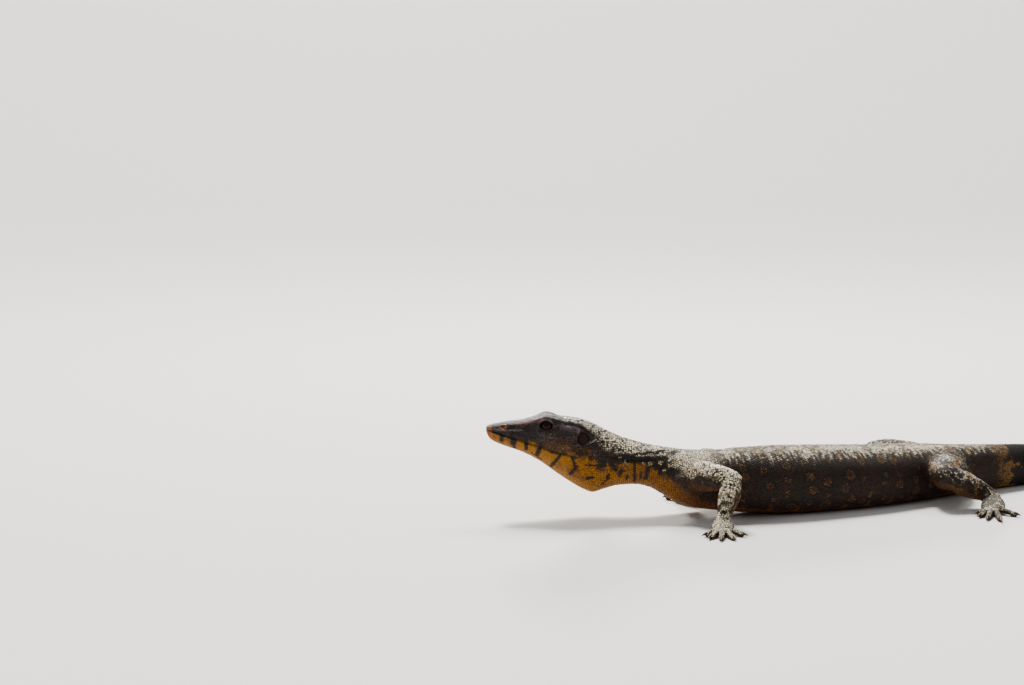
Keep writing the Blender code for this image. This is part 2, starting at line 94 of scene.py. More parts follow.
add_light("back light", (-0.25, 0.9, 1.1), (-0.3, 0, 0.04), (1.2, 0.3), 14, (1, 0.97, 0.92))
add_light("front light", (-1.5, -1.8, 1.3), (-0.3, 0, 0.04), (1.3, 1.0), 8, (1, 0.98, 0.96))
for name, tilt, strength, spread in (("high light", 29, 3.7, 14), ("rim light", 75, 3.2, 9)):
    bpy.ops.object.light_add(type="SUN", rotation=(math.radians(-tilt), math.radians(-10), 0))
    sun = bpy.context.object
    sun.name = name
    sun.data.energy, sun.data.angle = strength, math.radians(spread)
    sun.data.color = (1, 0.97, 0.92)
world = bpy.data.worlds.new("Studio")
bpy.context.scene.world = world
world.use_nodes = True
backdrop = world.node_tree.nodes["Background"]
backdrop.inputs["Color"].default_value = (0.86, 0.88, 0.92, 1)
backdrop.inputs["Strength"].default_value = 0.34
bpy.context.scene.view_settings.look = "AgX - Medium High Contrast"

bpy.ops.object.select_all(action="DESELECT")
bpy.ops.mesh.primitive_plane_add(size=FLOOR_SIDE, location=(0, 0, 0))
floor = bpy.context.object
floor.name = "floor"
floor_paint = bpy.data.materials.new("Studio floor")
floor_paint.use_nodes = True
floor_shader = floor_paint.node_tree.nodes["Principled BSDF"]
floor_shader.inputs["Base Color"].default_value = (0.74, 0.73, 0.71, 1)
floor_shader.inputs["Roughness"].default_value = 0.9
floor_shader.inputs["Specular IOR Level"].default_value = 0.1
floor.data.materials.clear()
floor.data.materials.append(floor_paint)

# Skin. One closed hide over the head, trunk, tail, limbs and digits, dark between the scales. It
# is drawn through the outlines of the body, joined with the limbs, opened at eyes, nostrils and
# ears, and its hollows where limbs meet the body are softened.
COAT = 0.3
SHOULDER_AT, HIP_AT, TAIL_TIP = 146.0, 362.0, 995.0
EYE_AT, EAR_AT, NOSTRIL_AT, MOUTH_CORNER_AT = 43.2, 70.0, 12.2, 61.0
BACK = ((0, 65.8), (1.2, 66.8), (3.5, 67.7), (9.5, 68.8), (17, 70.2), (23, 70.8), (30, 72.2),
        (36, 73.8), (40, 74.8), (43.5, 75.2), (47, 74.9), (50.5, 74.1), (53.5, 73.6), (60, 73.1),
        (66, 72.2), (72, 70.4), (79, 67.6), (88, 62.8), (100, 57.8), (114, 53.6), (135, 49.8),
        (152, 47.9), (166, 47.8), (183, 48.8), (205, 48.9), (240, 47.2), (290, 43.5), (340, 40.0),
        (390, 35.0), (440, 31.0), (540, 26.0), (640, 20.5), (760, 14.0), (880, 8.2), (960, 4.8),
        (995, 3.0))
BELLY = ((0, 62.2), (1.2, 59.2), (3.5, 56.4), (9.5, 53.3), (16, 51.0), (25, 47.9), (38, 41.3),
         (50, 32.7), (62, 24.6), (71, 19.6), (77, 17.6), (84, 19.6), (96, 22.9), (108, 23.6),
         (118, 21.6), (126, 17.2), (134, 12.4), (146, 7.6), (170, 3.8), (205, 0.8), (240, -0.5),
         (300, -0.9), (390, -0.8), (640, -0.5), (880, -0.3), (995, 0.1))
WIDEST = ((0, 64.4), (6, 63.4), (13, 60.9), (24, 57.6), (38, 53.4), (52, 49.4), (61, 47.6),
          (77, 45.5), (98, 41.0), (122, 36.5), (146, 29.0), (175, 23.5), (240, 18.0), (320, 16.5),
          (390, 15.5), (470, 13.0), (640, 9.0), (880, 3.6), (995, 1.5))
HALF_WIDTH = ((0, 2.4), (1.2, 4.9), (3.5, 7.0), (9.5, 9.2), (17, 10.6), (25, 12.0), (34, 14.0),
              (43, 16.4), (52, 18.0), (61, 18.8), (69, 18.2), (78, 16.6), (90, 15.2), (105, 15.0),
              (120, 16.8), (134, 20.0), (150, 23.0), (180, 26.5), (230, 30.5), (280, 30.5),
              (325, 26.5), (362, 21.0), (392, 16.0), (430, 13.0), (500, 10.2), (640, 7.4),
              (760, 5.2), (880, 3.2), (995, 1.2))
BACK_SQUARE = ((0, 2.1), (10, 2.6), (30, 2.9), (43, 3.1), (56, 2.8), (70, 2.4), (90, 2.1),
               (146, 2.0), (300, 2.1), (380, 1.95), (450, 1.65), (600, 1.5), (995, 1.5))
BELLY_SQUARE = ((0, 2.0), (20, 2.1), (40, 1.9), (60, 1.65), (76, 1.75), (95, 2.0), (146, 2.2),
                (240, 2.7), (330, 2.6), (400, 2.2), (600, 2.0), (995, 2.0))
HEADING = ((0, 0), (135, 2), (170, 12), (230, 22), (300, 27), (400, 30), (470, 16), (560, -14),
           (660, -24), (760, -8), (860, 10), (995, 24))
RELIEF = {
    "brow": (44, 58, 7.5, 12, 2.4),
    "canthus": (27, 52, 13, 11, 0.5),
    "cheek before the eye": (33, 27, 7, 13, -0.6),
    "hollow under the brow": (43, 34, 6.5, 11, -0.8),
    "snout swelling": (11, 40, 5, 18, 0.4),
    "jaw muscle": (60, 12, 8, 22, 0.9),
    "temple": (58, 56, 6.5, 13, -0.8),
    "throat side": (66, -35, 10, 20, 0.9),
    "neck fold": (104, 14, 17, 8, -1.0),
    "neck muscle": (98, 42, 16, 18, 0.8),
    "shoulder blade": (150, 46, 15, 24, 1.6),
    "hollow behind the shoulder": (180, 12, 12, 24, -1.0),
    "flank fold": (250, -8, 60, 12, 0.9),
    "hip bone": (360, 48, 14, 22, 1.5),
}
MOUTH_GROOVE, LIP_SWELL = 0.8, 0.4
THROAT_WAVE, THROAT_WAVE_HIGH = 4.3, 0.16
MM_PER_DEGREE, FAR = 0.32, 99.0
# Lines of (place, lift) along which the skin is creased or stands out, with half width and height
CREASES = {
    "edge below the ear": (((56, 10), (64.4, 13), (69.6, 17), (74, 25), (81.2, 37), (88, 52)),
                           0.8, 0.45),
    "crease under that edge": (((57, 5), (65, 8), (71, 12), (76, 20), (83, 31), (90, 44)),
                               0.8, -0.75),
    "edge of the temple": (((49, 62), (55, 66), (62, 65), (68, 61), (74, 54)), 1.2, 0.5),
    "crease under the temple": (((52, 54), (60, 56), (67, 51), (72, 46)), 1.0, -0.4),
    "crease in the cheek": (((51, 24), (57, 25), (63, 19), (65, 10)), 0.7, -0.4),
    "crease before the ear": (((64, 44), (63.5, 36), (64.5, 26)), 0.7, -0.5),
    "lower lid": (((36.6, 36), (39, 27), (43.5, 23.5), (48.5, 27), (51, 36)), 0.55, -0.4),
    "second lid fold": (((35, 31), (38.5, 22.5), (43.5, 18.5), (49, 22), (52.5, 30)), 0.55, -0.3),
    "upper lid": (((37.6, 46), (40.5, 52), (44, 54), (47.5, 52), (50, 46)), 0.5, -0.45),
    "brow edge": (((36, 53), (40, 59), (44, 61), (48, 59), (51, 52)), 0.9, 0.2),
    "canthus": (((16, 50), (24, 50), (31, 53), (37, 57)), 0.9, 0.35),
    "groove under the canthus": (((18, 38), (26, 40), (34, 42)), 1.3, -0.35),
    "upper lip edge": (((8, 20), (16, 23), (25, 24), (33, 20)), 0.9, 0.25),
    "first neck fold": (((90, 15), (99, 25), (106, 33), (118, 50), (127, 68)), 1.0, 0.5),
    "crease under it": (((91, 9), (100, 19), (107, 27), (119, 43), (129, 60)), 1.0, -1.2),
    "second neck fold": (((105, 19), (110, 25), (115, 32), (121, 41), (128, 45)), 0.9, 0.45),
    "crease under the second": (((99, 10), (107, 14), (113, 22), (119, 29), (127, 33)), 1.2, -1.2),
    "shoulder crease": (((137, 72), (132, 58), (128.6, 30), (125, 2), (124, -14)), 1.0, -0.7),
    "throat crease": (((80, -20), (85, -6), (90, 4)), 0.9, -0.5),
}


def smooth_line(points, at):
    """The value at each place of the smooth line through a few points, with no overshoot."""
    places, values = np.array(points, float).T
    steps = np.diff(places)
    slopes = np.diff(values) / steps
    tangents = np.zeros(len(values))
    tangents[0], tangents[-1] = slopes[0], slopes[-1]
    for i in range(1, len(values) - 1):
        before, after = slopes[i - 1], slopes[i]
        if before * after > 0:
            w_before = 2 * steps[i] + steps[i - 1]
            w_after = steps[i] + 2 * steps[i - 1]
            tangents[i] = (w_before + w_after) / (w_before / before + w_after / after)
    at = np.clip(at, places[0], places[-1])
    k = np.clip(np.searchsorted(places, at, "right") - 1, 0, len(steps) - 1)
    t = (at - places[k]) / steps[k]
    bend_in = (1 - t) ** 2 * t * tangents[k] * steps[k]
    bend_out = (1 - t) * t**2 * tangents[k + 1] * steps[k]
    ease = t * t * (3 - 2 * t)
    return values[k] * (1 - ease) + values[k + 1] * ease + bend_in - bend_out


def soft_step(value, low, high):
    """0 below low and 1 above high, with a soft rise between. low may be the larger one."""
    t = np.clip((value - low) / (high - low), 0, 1)
    return t * t * (3 - 2 * t)


def span(value, start, full, fading, end):
    """0 before start, 1 from full to fading and 0 after end."""
    return soft_step(value, start, full) * soft_step(value, end, fading)


midline_at = np.arange(0, TAIL_TIP + 1)
midline_turn = np.radians(smooth_line(HEADING, midline_at))
midline_steps = [(f(midline_turn[1:]) + f(midline_turn[:-1])) / 2 for f in (np.cos, np.sin)]
midline_x, midline_y = (np.concatenate([[0], np.cumsum(step)]) for step in midline_steps)
midline_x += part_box("head")[0].x / MM
midline_y += between_eyes.y / MM - np.interp(EYE_AT, midline_at, midline_y)


def off_segment(x, y, dx, dy):
    """How far points (x, y) are from the straight line between the origin and (dx, dy)."""
    t = np.clip((x * dx + y * dy) / (dx * dx + dy * dy), 0, 1)
    return np.hypot(x - t * dx, y - t * dy)


def relief(along, lift):
    """How far the surface stands out, in mm, at a place along the body and a lift in degrees."""
    out = np.zeros(np.broadcast(along, lift).shape)
    for place, angle, length, spread, amount in RELIEF.values():
        out += amount * np.exp(-(((along - place) / length) ** 2) - ((lift - angle) / spread) ** 2)
    in_mouth = np.clip((MOUTH_CORNER_AT - along) / 3, 0, 1) * np.clip(along / 2, 0, 1)
    out -= in_mouth * MOUTH_GROOVE * np.exp(-((lift / 2.0) ** 2))
    out += in_mouth * LIP_SWELL * np.exp(-(((np.abs(lift) - 8) / 4) ** 2))
    for line, half, amount in CREASES.values():
        away = np.full(out.shape, FAR)
        for (s0, lift0), (s1, lift1) in zip(line, line[1:]):
            fall, dl = (lift - lift0) * MM_PER_DEGREE, (lift1 - lift0) * MM_PER_DEGREE
            away = np.minimum(away, off_segment(along - s0, fall, s1 - s0, dl))
        out += amount * np.exp(-((away / half) ** 2))
    creased = span(along, 82, 92, 138, 150) * soft_step(lift, 16, 0)
    out += creased * THROAT_WAVE_HIGH * np.sin(along * 2 * np.pi / THROAT_WAVE + lift / 14)
    return out


def body_points(along, around, extra=-COAT):
    """Points of the body in mm, at distances from the snout in mm and angles in degrees."""
    s, a = np.broadcast_arrays(np.asarray(along, float), np.radians(around))
    back, belly = smooth_line(BACK, s) + extra, smooth_line(BELLY, s) - extra
    widest, half = smooth_line(WIDEST, s), smooth_line(HALF_WIDTH, s) + extra
    up = np.sin(a) >= 0
    power = 2 / np.where(up, smooth_line(BACK_SQUARE, s), smooth_line(BELLY_SQUARE, s))
    across = half * np.sign(np.cos(a)) * np.abs(np.cos(a)) ** power
    rise = np.where(up, back - widest, widest - belly) * np.sign(np.sin(a))
    height = rise * np.abs(np.sin(a)) ** power
    lift = np.degrees(np.arctan2(np.sin(a), np.abs(np.cos(a))))
    grow = 1 + relief(s, lift) / (np.hypot(across, height) + 1e-9)
    across, height = across * grow, widest + height * grow
    turn = np.interp(s, midline_at, midline_turn)
    x, y = np.interp(s, midline_at, midline_x), np.interp(s, midline_at, midline_y)
    return np.stack([x - np.sin(turn) * across, y + np.cos(turn) * across,
                     np.maximum(height, -extra)], axis=-1)


def beside(along, forward, out, height, side):
    """A point in mm placed from the midline: forward of a place along it and out to a side."""
    x, y, turn = (float(np.interp(along, midline_at, line))
                  for line in (midline_x, midline_y, midline_turn))
    return np.array((x - math.cos(turn) * forward - math.sin(turn) * out * side,
                     y - math.sin(turn) * forward + math.cos(turn) * out * side, height))


def new_object(name, points, faces):
    """A mesh object from points in mm. Its faces are turned outwards."""
    mesh = bpy.data.meshes.new(name)
    mesh.from_pydata((np.asarray(points) * MM).tolist(), [], faces)
    bm = bmesh.new()
    bm.from_mesh(mesh)
    bmesh.ops.recalc_face_normals(bm, faces=bm.faces)
    if bm.calc_volume(signed=True) < 0:
        bmesh.ops.reverse_faces(bm, faces=bm.faces)
    bm.to_mesh(mesh)
    bm.free()
    obj = bpy.data.objects.new(name, mesh)
    bpy.context.scene.collection.objects.link(obj)
    return obj


def rings_closed(rings):
    """Points and faces of a closed solid through rings. A ring may have half as many points as
    the one before it."""
    points = [point for ring in rings for point in ring]
    starts = np.cumsum([0] + [len(ring) for ring in rings])
    faces = []
    for i, (one, two) in enumerate(zip(rings, rings[1:])):
        a, b, n = starts[i], starts[i + 1], len(two)
        if len(one) == n:
            faces += [(a + j, a + (j + 1) % n, b + (j + 1) % n, b + j) for j in range(n)]
            continue
        for j in range(n):
            near, mid, far = a + 2 * j, a + 2 * j + 1, a + (2 * j + 2) % (2 * n)
            faces += [(near, mid, b + j), (mid, far, b + (j + 1) % n, b + j)]
    for ring, start in ((rings[0], starts[0]), (rings[-1], starts[-2])):
        points.append(np.mean(ring, axis=0))
        n = len(ring)
        faces += [(start + j, start + (j + 1) % n, len(points) - 1) for j in range(n)]
    return points, faces


def ring_angles(along, count):
    """Angles round the body, crowded towards the mouth line on the head."""
    even = np.arange(count) * 2 * np.pi / count + np.pi / 2
    return np.degrees(even - 0.36 * np.clip((78 - along) / 16, 0, 1) * np.sin(2 * even))


ring_places = np.concatenate([
    (0, 0.25, 0.6, 1.1, 1.7, 2.4, 3.2, 4.1), np.arange(5, 80, 0.85), np.arange(80.5, 400, 1.75),
    np.arange(401, 820, 3.1), np.arange(820.5, TAIL_TIP, 4.0), (TAIL_TIP,)])
body_rings = [
    body_points(place, ring_angles(place, 112 if place < 400 else 56 if place < 820 else 28))
    for place in ring_places
]
skin = new_object("skin", *rings_closed(body_rings))

# Limbs under the same skin: each bone's flesh is a tube with rounded ends, and each palm or sole
# is a flat pad that carries five bent digits.
ARM_LEFT = ((3, 8, 32), (-27, 47, 35), (-18, 58, 9.5), (-16, 71, 3))
ARM_RIGHT = ((3, 8, 32), (-24, 37, 36), (-5, 37, 9.5), (-4, 51, 3))
LEG_LEFT = ((-2, 4, 20), (36, 46, 25), (4, 64, 9), (17, 79, 3.2))
LEG_RIGHT = ((-2, 4, 20), (26, 54, 26), (-8, 74, 9), (-2, 91, 3.2))
UPPER_ARM = ((13, 12), (11.4, 11), (9.4, 9.4), (8.0, 8.0))
FOREARM = ((6.4, 6.4), (8.6, 8), (7, 6.6), (5.4, 5))
THIGH = ((16, 14), (15.5, 13.5), (13, 12.5), (10.2, 10.2))
SHANK = ((8, 8), (10, 9.4), (8, 7.6), (6, 5.6))
PALM_SHAPE = ((0, 0.45, 0.4), (0.12, 0.85, 0.72), (0.35, 1.15, 0.85), (0.65, 1.5, 0.76),
              (0.88, 1.4, 0.62), (1, 1.0, 0.42))
FINGERS = ((13, 6.4, 50), (18, 7.4, 25), (20, 7.8, 2), (19, 7.6, -22), (14, 6.6, -62))
TOES = ((13, 6.2, 44), (19, 7.2, 24), (25, 7.8, 6), (29, 7.8, -12), (18, 6.6, -58))
DIGIT_SHAPE = ((0, 0, 1.1), (0.16, 0.6, 0.98), (0.3, 0.9, 1.02), (0.45, 0.6, 0.86),
               (0.6, 0.3, 0.9), (0.72, -0.2, 0.78), (0.84, -0.6, 0.86), (0.96, -0.8, 0.68),
               (1, -0.8, 0.4))
DIGIT_RADIUS, DIGIT_SUNK, DIGIT_SPREAD, DIGIT_HEIGHT = 2.5, 4.0, 2.6, 2.5
UP = np.array((0, 0, 1.0))
BONE_STEP = 1.25


def unit(vector):
    return vector / np.linalg.norm(vector)


def sleeve(points, wide, thick, normal, sides):
    """Rings of an oval tube along points. Its thickness lies as near as can be along normal."""
    points = np.asarray(points)
    turns = 2 * np.pi * (np.arange(sides) + 0.5) / sides
    rings = []
    for i, point in enumerate(points):
        along = unit(points[min(i + 1, len(points) - 1)] - points[max(i - 1, 0)])
        across = unit(np.cross(along, normal))
        up = np.cross(across, along)
        rings.append(point + np.outer(np.cos(turns) * wide[i], across)
                     + np.outer(np.sin(turns) * thick[i], up))
    return rings


def bone(start, end, sizes, normal, sides=40):
    """Rings of the flesh of one bone, a tube of oval section with rounded ends."""
    length = np.linalg.norm(end - start)
    key = np.linspace(0, length, len(sizes))
    first, last = sizes[0][1] - COAT, sizes[-1][1] - COAT
    arc = np.radians((4, 15, 27, 39, 51, 63, 76))
    middle = np.linspace(0, length, max(6, round(length / BONE_STEP)))
    places = np.concatenate([-first * np.cos(arc), middle, length + last * np.cos(arc[::-1])])
    share = np.concatenate([np.sin(arc), np.ones(len(middle)), np.sin(arc[::-1])])
    wide, thick = ((smooth_line(list(zip(key, [size[i] for size in sizes])), places) - COAT) * share
                   for i in (0, 1))
    return sleeve(start + np.outer(places, unit(end - start)), wide, thick, normal, sides)


def palm(wrist, knuckles, wide):
    start = wrist - unit(knuckles - wrist) * wide * 0.75
    reach = (knuckles - start) * 1.12
    share = np.linspace(0, 1, 22)
    radius = [smooth_line([(row[0], row[i]) for row in PALM_SHAPE], share) * wide - COAT
              for i in (1, 2)]
    return sleeve(start + np.outer(share, reach), *radius, UP, 36)


def digits_of(wrist, knuckles, sign, digits):
    """For each digit: its rings, its tip, its direction and the length of its claw."""
    ahead = unit((knuckles - wrist) * (1, 1, 0))
    for length, claw, turn in digits:
        angle = math.radians(turn * sign)
        way = np.array((ahead[0] * math.cos(angle) - ahead[1] * math.sin(angle),
                        ahead[0] * math.sin(angle) + ahead[1] * math.cos(angle), 0))
        root = knuckles - ahead * DIGIT_SUNK + way * DIGIT_SPREAD
        root[2] = DIGIT_HEIGHT
        share = np.linspace(0, 1, max(16, round(length / 0.9)))
        rise, radius = (smooth_line([(row[0], row[i]) for row in DIGIT_SHAPE], share)
                        for i in (1, 2))
        radius = radius * DIGIT_RADIUS - COAT * 0.8
        points = root + np.outer(share * length, way) + np.outer(rise, UP)
        yield sleeve(points, radius, radius * 0.95, UP, 14), points[-1], way, claw


# A limb's parts are (limb, stage, rings), with limbs numbered as below and stages that run from
# the shoulder or hip to the digits.
UPPER, LOWER, PALM, DIGIT, FIRST_LEG = 0.0, 1.0, 2.0, 3.0, 2
limb_parts, claw_roots = [], []
for limb, (at, sign, joints, sizes, digits) in enumerate((
    (SHOULDER_AT, -1, ARM_LEFT, (UPPER_ARM, FOREARM), FINGERS),
    (SHOULDER_AT, 1, ARM_RIGHT, (UPPER_ARM, FOREARM), FINGERS),
    (HIP_AT, -1, LEG_LEFT, (THIGH, SHANK), TOES),
    (HIP_AT, 1, LEG_RIGHT, (THIGH, SHANK), TOES),
)):
    root, elbow, wrist, knuckles = (beside(at, *joint, sign) for joint in joints)
    normal = unit(np.cross(elbow - root, wrist - elbow))
    limb_parts += [(limb, UPPER, bone(root, elbow, sizes[0], normal)),
                   (limb, LOWER, bone(elbow, wrist, sizes[1], normal)),
                   (limb, PALM, palm(wrist, knuckles, sizes[1][-1][0]))]
    for rings, tip, way, claw in digits_of(wrist, knuckles, sign, digits):
        limb_parts.append((limb, DIGIT, rings))
        claw_roots.append((tip, way, claw))


def combine(obj, others, operation):
    """Joins other meshes to the object, or cuts them from it, in one Boolean, and removes them."""
    group = bpy.data.collections.new("tools")
    for other in others:
        group.objects.link(other)
    modifier = obj.modifiers.new(operation, "BOOLEAN")
    modifier.operation, modifier.operand_type = operation, "COLLECTION"
    modifier.collection, modifier.solver = group, "MANIFOLD"
    graph = bpy.context.evaluated_depsgraph_get()
    mesh = bpy.data.meshes.new_from_object(obj.evaluated_get(graph))
    obj.modifiers.clear()
    obj.data = mesh
    for other in others:
        bpy.data.objects.remove(other)
    bpy.data.collections.remove(group)


combine(skin, [new_object("limb part", *rings_closed(rings)) for _, _, rings in limb_parts],
        "UNION")

# Lids, nostrils and ears of the skin: a rim round each eye, a socket for the eyeball, a slanted
# slit of a nostril and a shallow cup over the eardrum.
EYE_RADIUS, EYE_SUNK, EYE_LIFT, EYE_OUT = 5.2, 4.35, 69.5, 14.2
LID_LENGTH, LID_HEIGHT, LID_THICK, LID_SUNK = 5.4, 3.6, 0.75, 0.35
SOCKET_ROOM, SCALES_CLEAR_OF_EYE, SCALES_CLEAR = 0.12, 0.9, 0.3
NOSTRIL_LIFT, NOSTRIL_OUT, NOSTRIL_SIZE = 68.1, 8.2, (2.6, 1.6, 1.5)
EAR_LIFT, EAR_OUT, EAR_SIZE = 60.0, 17.0, (4.5, 2.6, 5.0)


def surface_frame(along, lift, out, side):
    """A point on the head's side and the turn that points +Y out of the skin there."""
    point = beside(along, 0, out, lift, side)
    nearby = [body_points(along + d, np.arange(0, 360, 2.0), 0) for d in (-1, 1)]
    ring = (nearby[0] + nearby[1]) / 2
    i = int(np.argmin(np.linalg.norm(ring - point, axis=1)))
    lengthwise = unit(nearby[1][i] - nearby[0][i])
    outward = unit(np.cross(lengthwise, ring[(i + 1) % len(ring)] - ring[i - 1]))
    outward = outward * np.sign(outward[1] * side)
    upward = unit(np.cross(outward, lengthwise))
    upward = upward * np.sign(upward[2])
    return ring[i], np.stack([np.cross(outward, upward), outward, upward], axis=1)


def ellipsoid(name, centre, size, turn):
    bpy.ops.mesh.primitive_uv_sphere_add(segments=40, ring_count=24, radius=1)
    obj = bpy.context.object
    obj.name = name
    scaled = Matrix(turn.tolist()).to_4x4() @ Matrix.Diagonal((*size, 1))
    obj.data.transform(Matrix.Scale(MM, 4) @ Matrix.Translation(centre) @ scaled)
    for collection in obj.users_collection:
        collection.objects.unlink(obj)
    return obj


def lid_rim(centre, turn):
    """The raised edge of the eyelids, an almond-shaped ring lying on the skin."""
    steps, sides = 56, 12
    points = []
    for i in range(steps):
        t = 2 * math.pi * i / steps
        thick = LID_THICK * (1.2 if math.sin(t) > 0 else 0.9)
        pointed = abs(math.sin(t)) ** 1.15 * math.copysign(1, math.sin(t))
        for j in range(sides):
            u = 2 * math.pi * j / sides
            grow = math.cos(u) * thick
            points.append(centre + turn @ np.array((
                math.cos(t) * (LID_LENGTH + grow), math.sin(u) * thick - LID_SUNK,
                pointed * (LID_HEIGHT + grow))))
    faces = [(i * sides + j, i * sides + (j + 1) % sides,
              (i + 1) % steps * sides + (j + 1) % sides, (i + 1) % steps * sides + j)
             for i in range(steps) for j in range(sides)]
    return new_object("lid rim", points, faces)


rims, cutters, eye_places, openings = [], [], [], []
for sign in (-1, 1):
    at_eye, turn = surface_frame(EYE_AT, EYE_LIFT, EYE_OUT, sign)
    middle = at_eye - turn @ np.array((0, EYE_SUNK, 0))
    eye_places.append((middle, turn))
    rims.append(lid_rim(at_eye, turn))
    slit = (LID_LENGTH - LID_THICK * 0.6, 3.2, LID_HEIGHT - LID_THICK * 0.6)
    cutters.append(ellipsoid("eye opening", at_eye, slit, turn))
    cutters.append(ellipsoid("socket", middle, (EYE_RADIUS + SOCKET_ROOM,) * 3, turn))
    openings.append((at_eye, turn, slit[0] + SCALES_CLEAR_OF_EYE, slit[2] + SCALES_CLEAR_OF_EYE))
    for name, place, size in (
        ("nostril", (NOSTRIL_AT, NOSTRIL_LIFT, NOSTRIL_OUT), NOSTRIL_SIZE),
        ("ear", (EAR_AT, EAR_LIFT, EAR_OUT), EAR_SIZE),
    ):
        centre, tilt = surface_frame(*place, sign)
        cutters.append(ellipsoid(name, centre, size, tilt))
        openings.append((centre, tilt, size[0] + SCALES_CLEAR, size[2] + SCALES_CLEAR))
combine(skin, rims, "UNION")
combine(skin, cutters, "DIFFERENCE")


def off_openings(points, deep):
    """How far points at most deep mm off an opening's mouth are from its middle, in its sizes."""
    least = np.full(len(points), FAR)
    for centre, turn, long, tall in openings:
        local = (points - centre) @ turn
        away = np.hypot(local[:, 0] / long, local[:, 2] / tall)
        least = np.where(np.abs(local[:, 1]) < deep, np.minimum(least, away), least)
    return least


# Crumbs that the cuts leave loose are deleted: only the largest connected group stays.
bm = bmesh.new()
bm.from_mesh(skin.data)
bmesh.ops.remove_doubles(bm, verts=bm.verts, dist=0.05 * MM)
bmesh.ops.triangulate(bm, faces=bm.faces)
groups, seen = [], set()
for start in bm.verts:
    if start in seen:
        continue
    group, waiting = [], [start]
    seen.add(start)
    while waiting:
        vert = waiting.pop()
        group.append(vert)
        for edge in vert.link_edges:
            other = edge.other_vert(vert)
            if other not in seen:
                seen.add(other)
                waiting.append(other)
    groups.append(group)
groups.sort(key=len)
bmesh.ops.delete(bm, geom=[vert for group in groups[:-1] for vert in group], context="VERTS")
bm.to_mesh(skin.data)
bm.free()

# Seams of the skin. On the animal the hide runs on from the body to the limbs without a line. So
# each point is told its place along the body, its lift round it and its limb, and the seams where
# tubes met are softened.
SAMPLE_STEP, LIMB_NEAR = 5.0, 14
SAMPLE_TURNS = np.arange(0, 360, SAMPLE_STEP)
sample_places = np.concatenate([np.arange(0, 90, 1.0), np.arange(90, 400, 2.0),
                                np.arange(400, TAIL_TIP, 3.0)])
body_samples = np.array([body_points(place, SAMPLE_TURNS) for place in sample_places])
step_along = np.gradient(body_samples, axis=0) / np.gradient(sample_places)[:, None, None]
step_round = (np.roll(body_samples, -1, 1) - np.roll(body_samples, 1, 1)) / (2 * SAMPLE_STEP)


def tree_of(points):
    tree = KDTree(len(points))
    for i, point in enumerate(points):
        tree.insert(point, i)
    tree.balance()
    return tree


def nearest(tree, points):
    found = [tree.find(point)[1:] for point in points]
    index, distance = (np.array(column) for column in zip(*found))
    return index.astype(int), distance


body_tree = tree_of(body_samples.reshape(-1, 3).tolist())
part_trees = [tree_of(np.concatenate(rings).tolist()) for _, _, rings in limb_parts]
part_limb = np.array([limb for limb, _, _ in limb_parts])


def where(points):
    """Dictionary of where points (mm) are: along, lift, side, limb, reach and limb distance."""
    listed = points.tolist()
    index, body_away = nearest(body_tree, listed)
    i, j = np.divmod(index, len(SAMPLE_TURNS))
    off = points - body_samples[i, j]
    ahead, sideways = step_along[i, j], step_round[i, j]
    along = sample_places[i] + np.sum(off * ahead, 1) / np.maximum(np.sum(ahead**2, 1), 0.3)
    width = np.maximum(np.sum(sideways**2, 1), 1e-4)
    turn = SAMPLE_TURNS[j] + np.clip(np.sum(off * sideways, 1) / width, -3, 3)
    lift = np.degrees(np.arcsin(np.sin(np.radians(turn))))
    aways = np.empty((len(points), len(limb_parts)))
    reach = np.zeros((len(points), len(limb_parts)))
    for k, (limb, stage, rings) in enumerate(limb_parts):
        lowest, highest = (f(np.concatenate(rings), axis=0) for f in (np.min, np.max))
        close = np.all((points > lowest - LIMB_NEAR) & (points < highest + LIMB_NEAR), axis=1)
        aways[:, k] = FAR
        if close.any():
            nearby, away = nearest(part_trees[k], points[close].tolist())
            aways[close, k] = away
            reach[close, k] = stage + nearby // len(rings[0]) / len(rings)
    best = aways.argmin(1)
    rows = np.arange(len(points))
    return {
        "along": along, "lift": lift, "side": np.where(np.cos(np.radians(turn)) > 0, 1, -1),
        "limb": part_limb[best], "reach": reach[rows, best], "limb_away": aways[rows, best],
        "body_away": body_away, "aways": aways,
    }


def rows_of(items, name, kind=float):
    """The three numbers that each item of a mesh has under a name, one row for each item."""
    values = np.empty(len(items) * 3, kind)
    items.foreach_get(name, values)
    return values.reshape(-1, 3)


skin_points = rows_of(skin.data.vertices, "co") / MM
skin_faces = rows_of(skin.data.polygons, "vertices", int)
skin_where = where(skin_points)
every_away = np.column_stack([skin_where["body_away"], skin_where["aways"]])
every_away.sort(axis=1)
SEAM_DIGIT, SEAM_LIMB, SEAM_HIP, SEAMS_FROM, LIMBS_FROM = 1.6, 7.0, 9.0, 90, 95
softness = np.where(skin_where["reach"] >= 2.4, SEAM_DIGIT, SEAM_LIMB)
at_hip = (skin_where["along"] > 170) & (skin_where["reach"] < 0.5)
softness = np.where(at_hip, SEAM_HIP, softness)
seam = soft_step(every_away[:, 1], softness, softness * 0.25)
seam[skin_where["along"] < SEAMS_FROM] = 0
ends = np.concatenate([skin_faces[:, pair] for pair in ([0, 1], [1, 2], [2, 0])])
ends = np.unique(np.sort(ends), axis=0)
count = np.bincount(ends.ravel(), minlength=len(skin_points))
SMOOTHING_ROUNDS, SMOOTHING = 36, 0.6
for _ in range(SMOOTHING_ROUNDS):
    total = np.zeros_like(skin_points)
    for axis in range(3):
        total[:, axis] = (
            np.bincount(ends[:, 0], skin_points[ends[:, 1], axis], len(skin_points))
            + np.bincount(ends[:, 1], skin_points[ends[:, 0], axis], len(skin_points)))
    skin_points += (total / count[:, None] - skin_points) * (seam * SMOOTHING)[:, None]
highest = cad_box[1][2] / MM
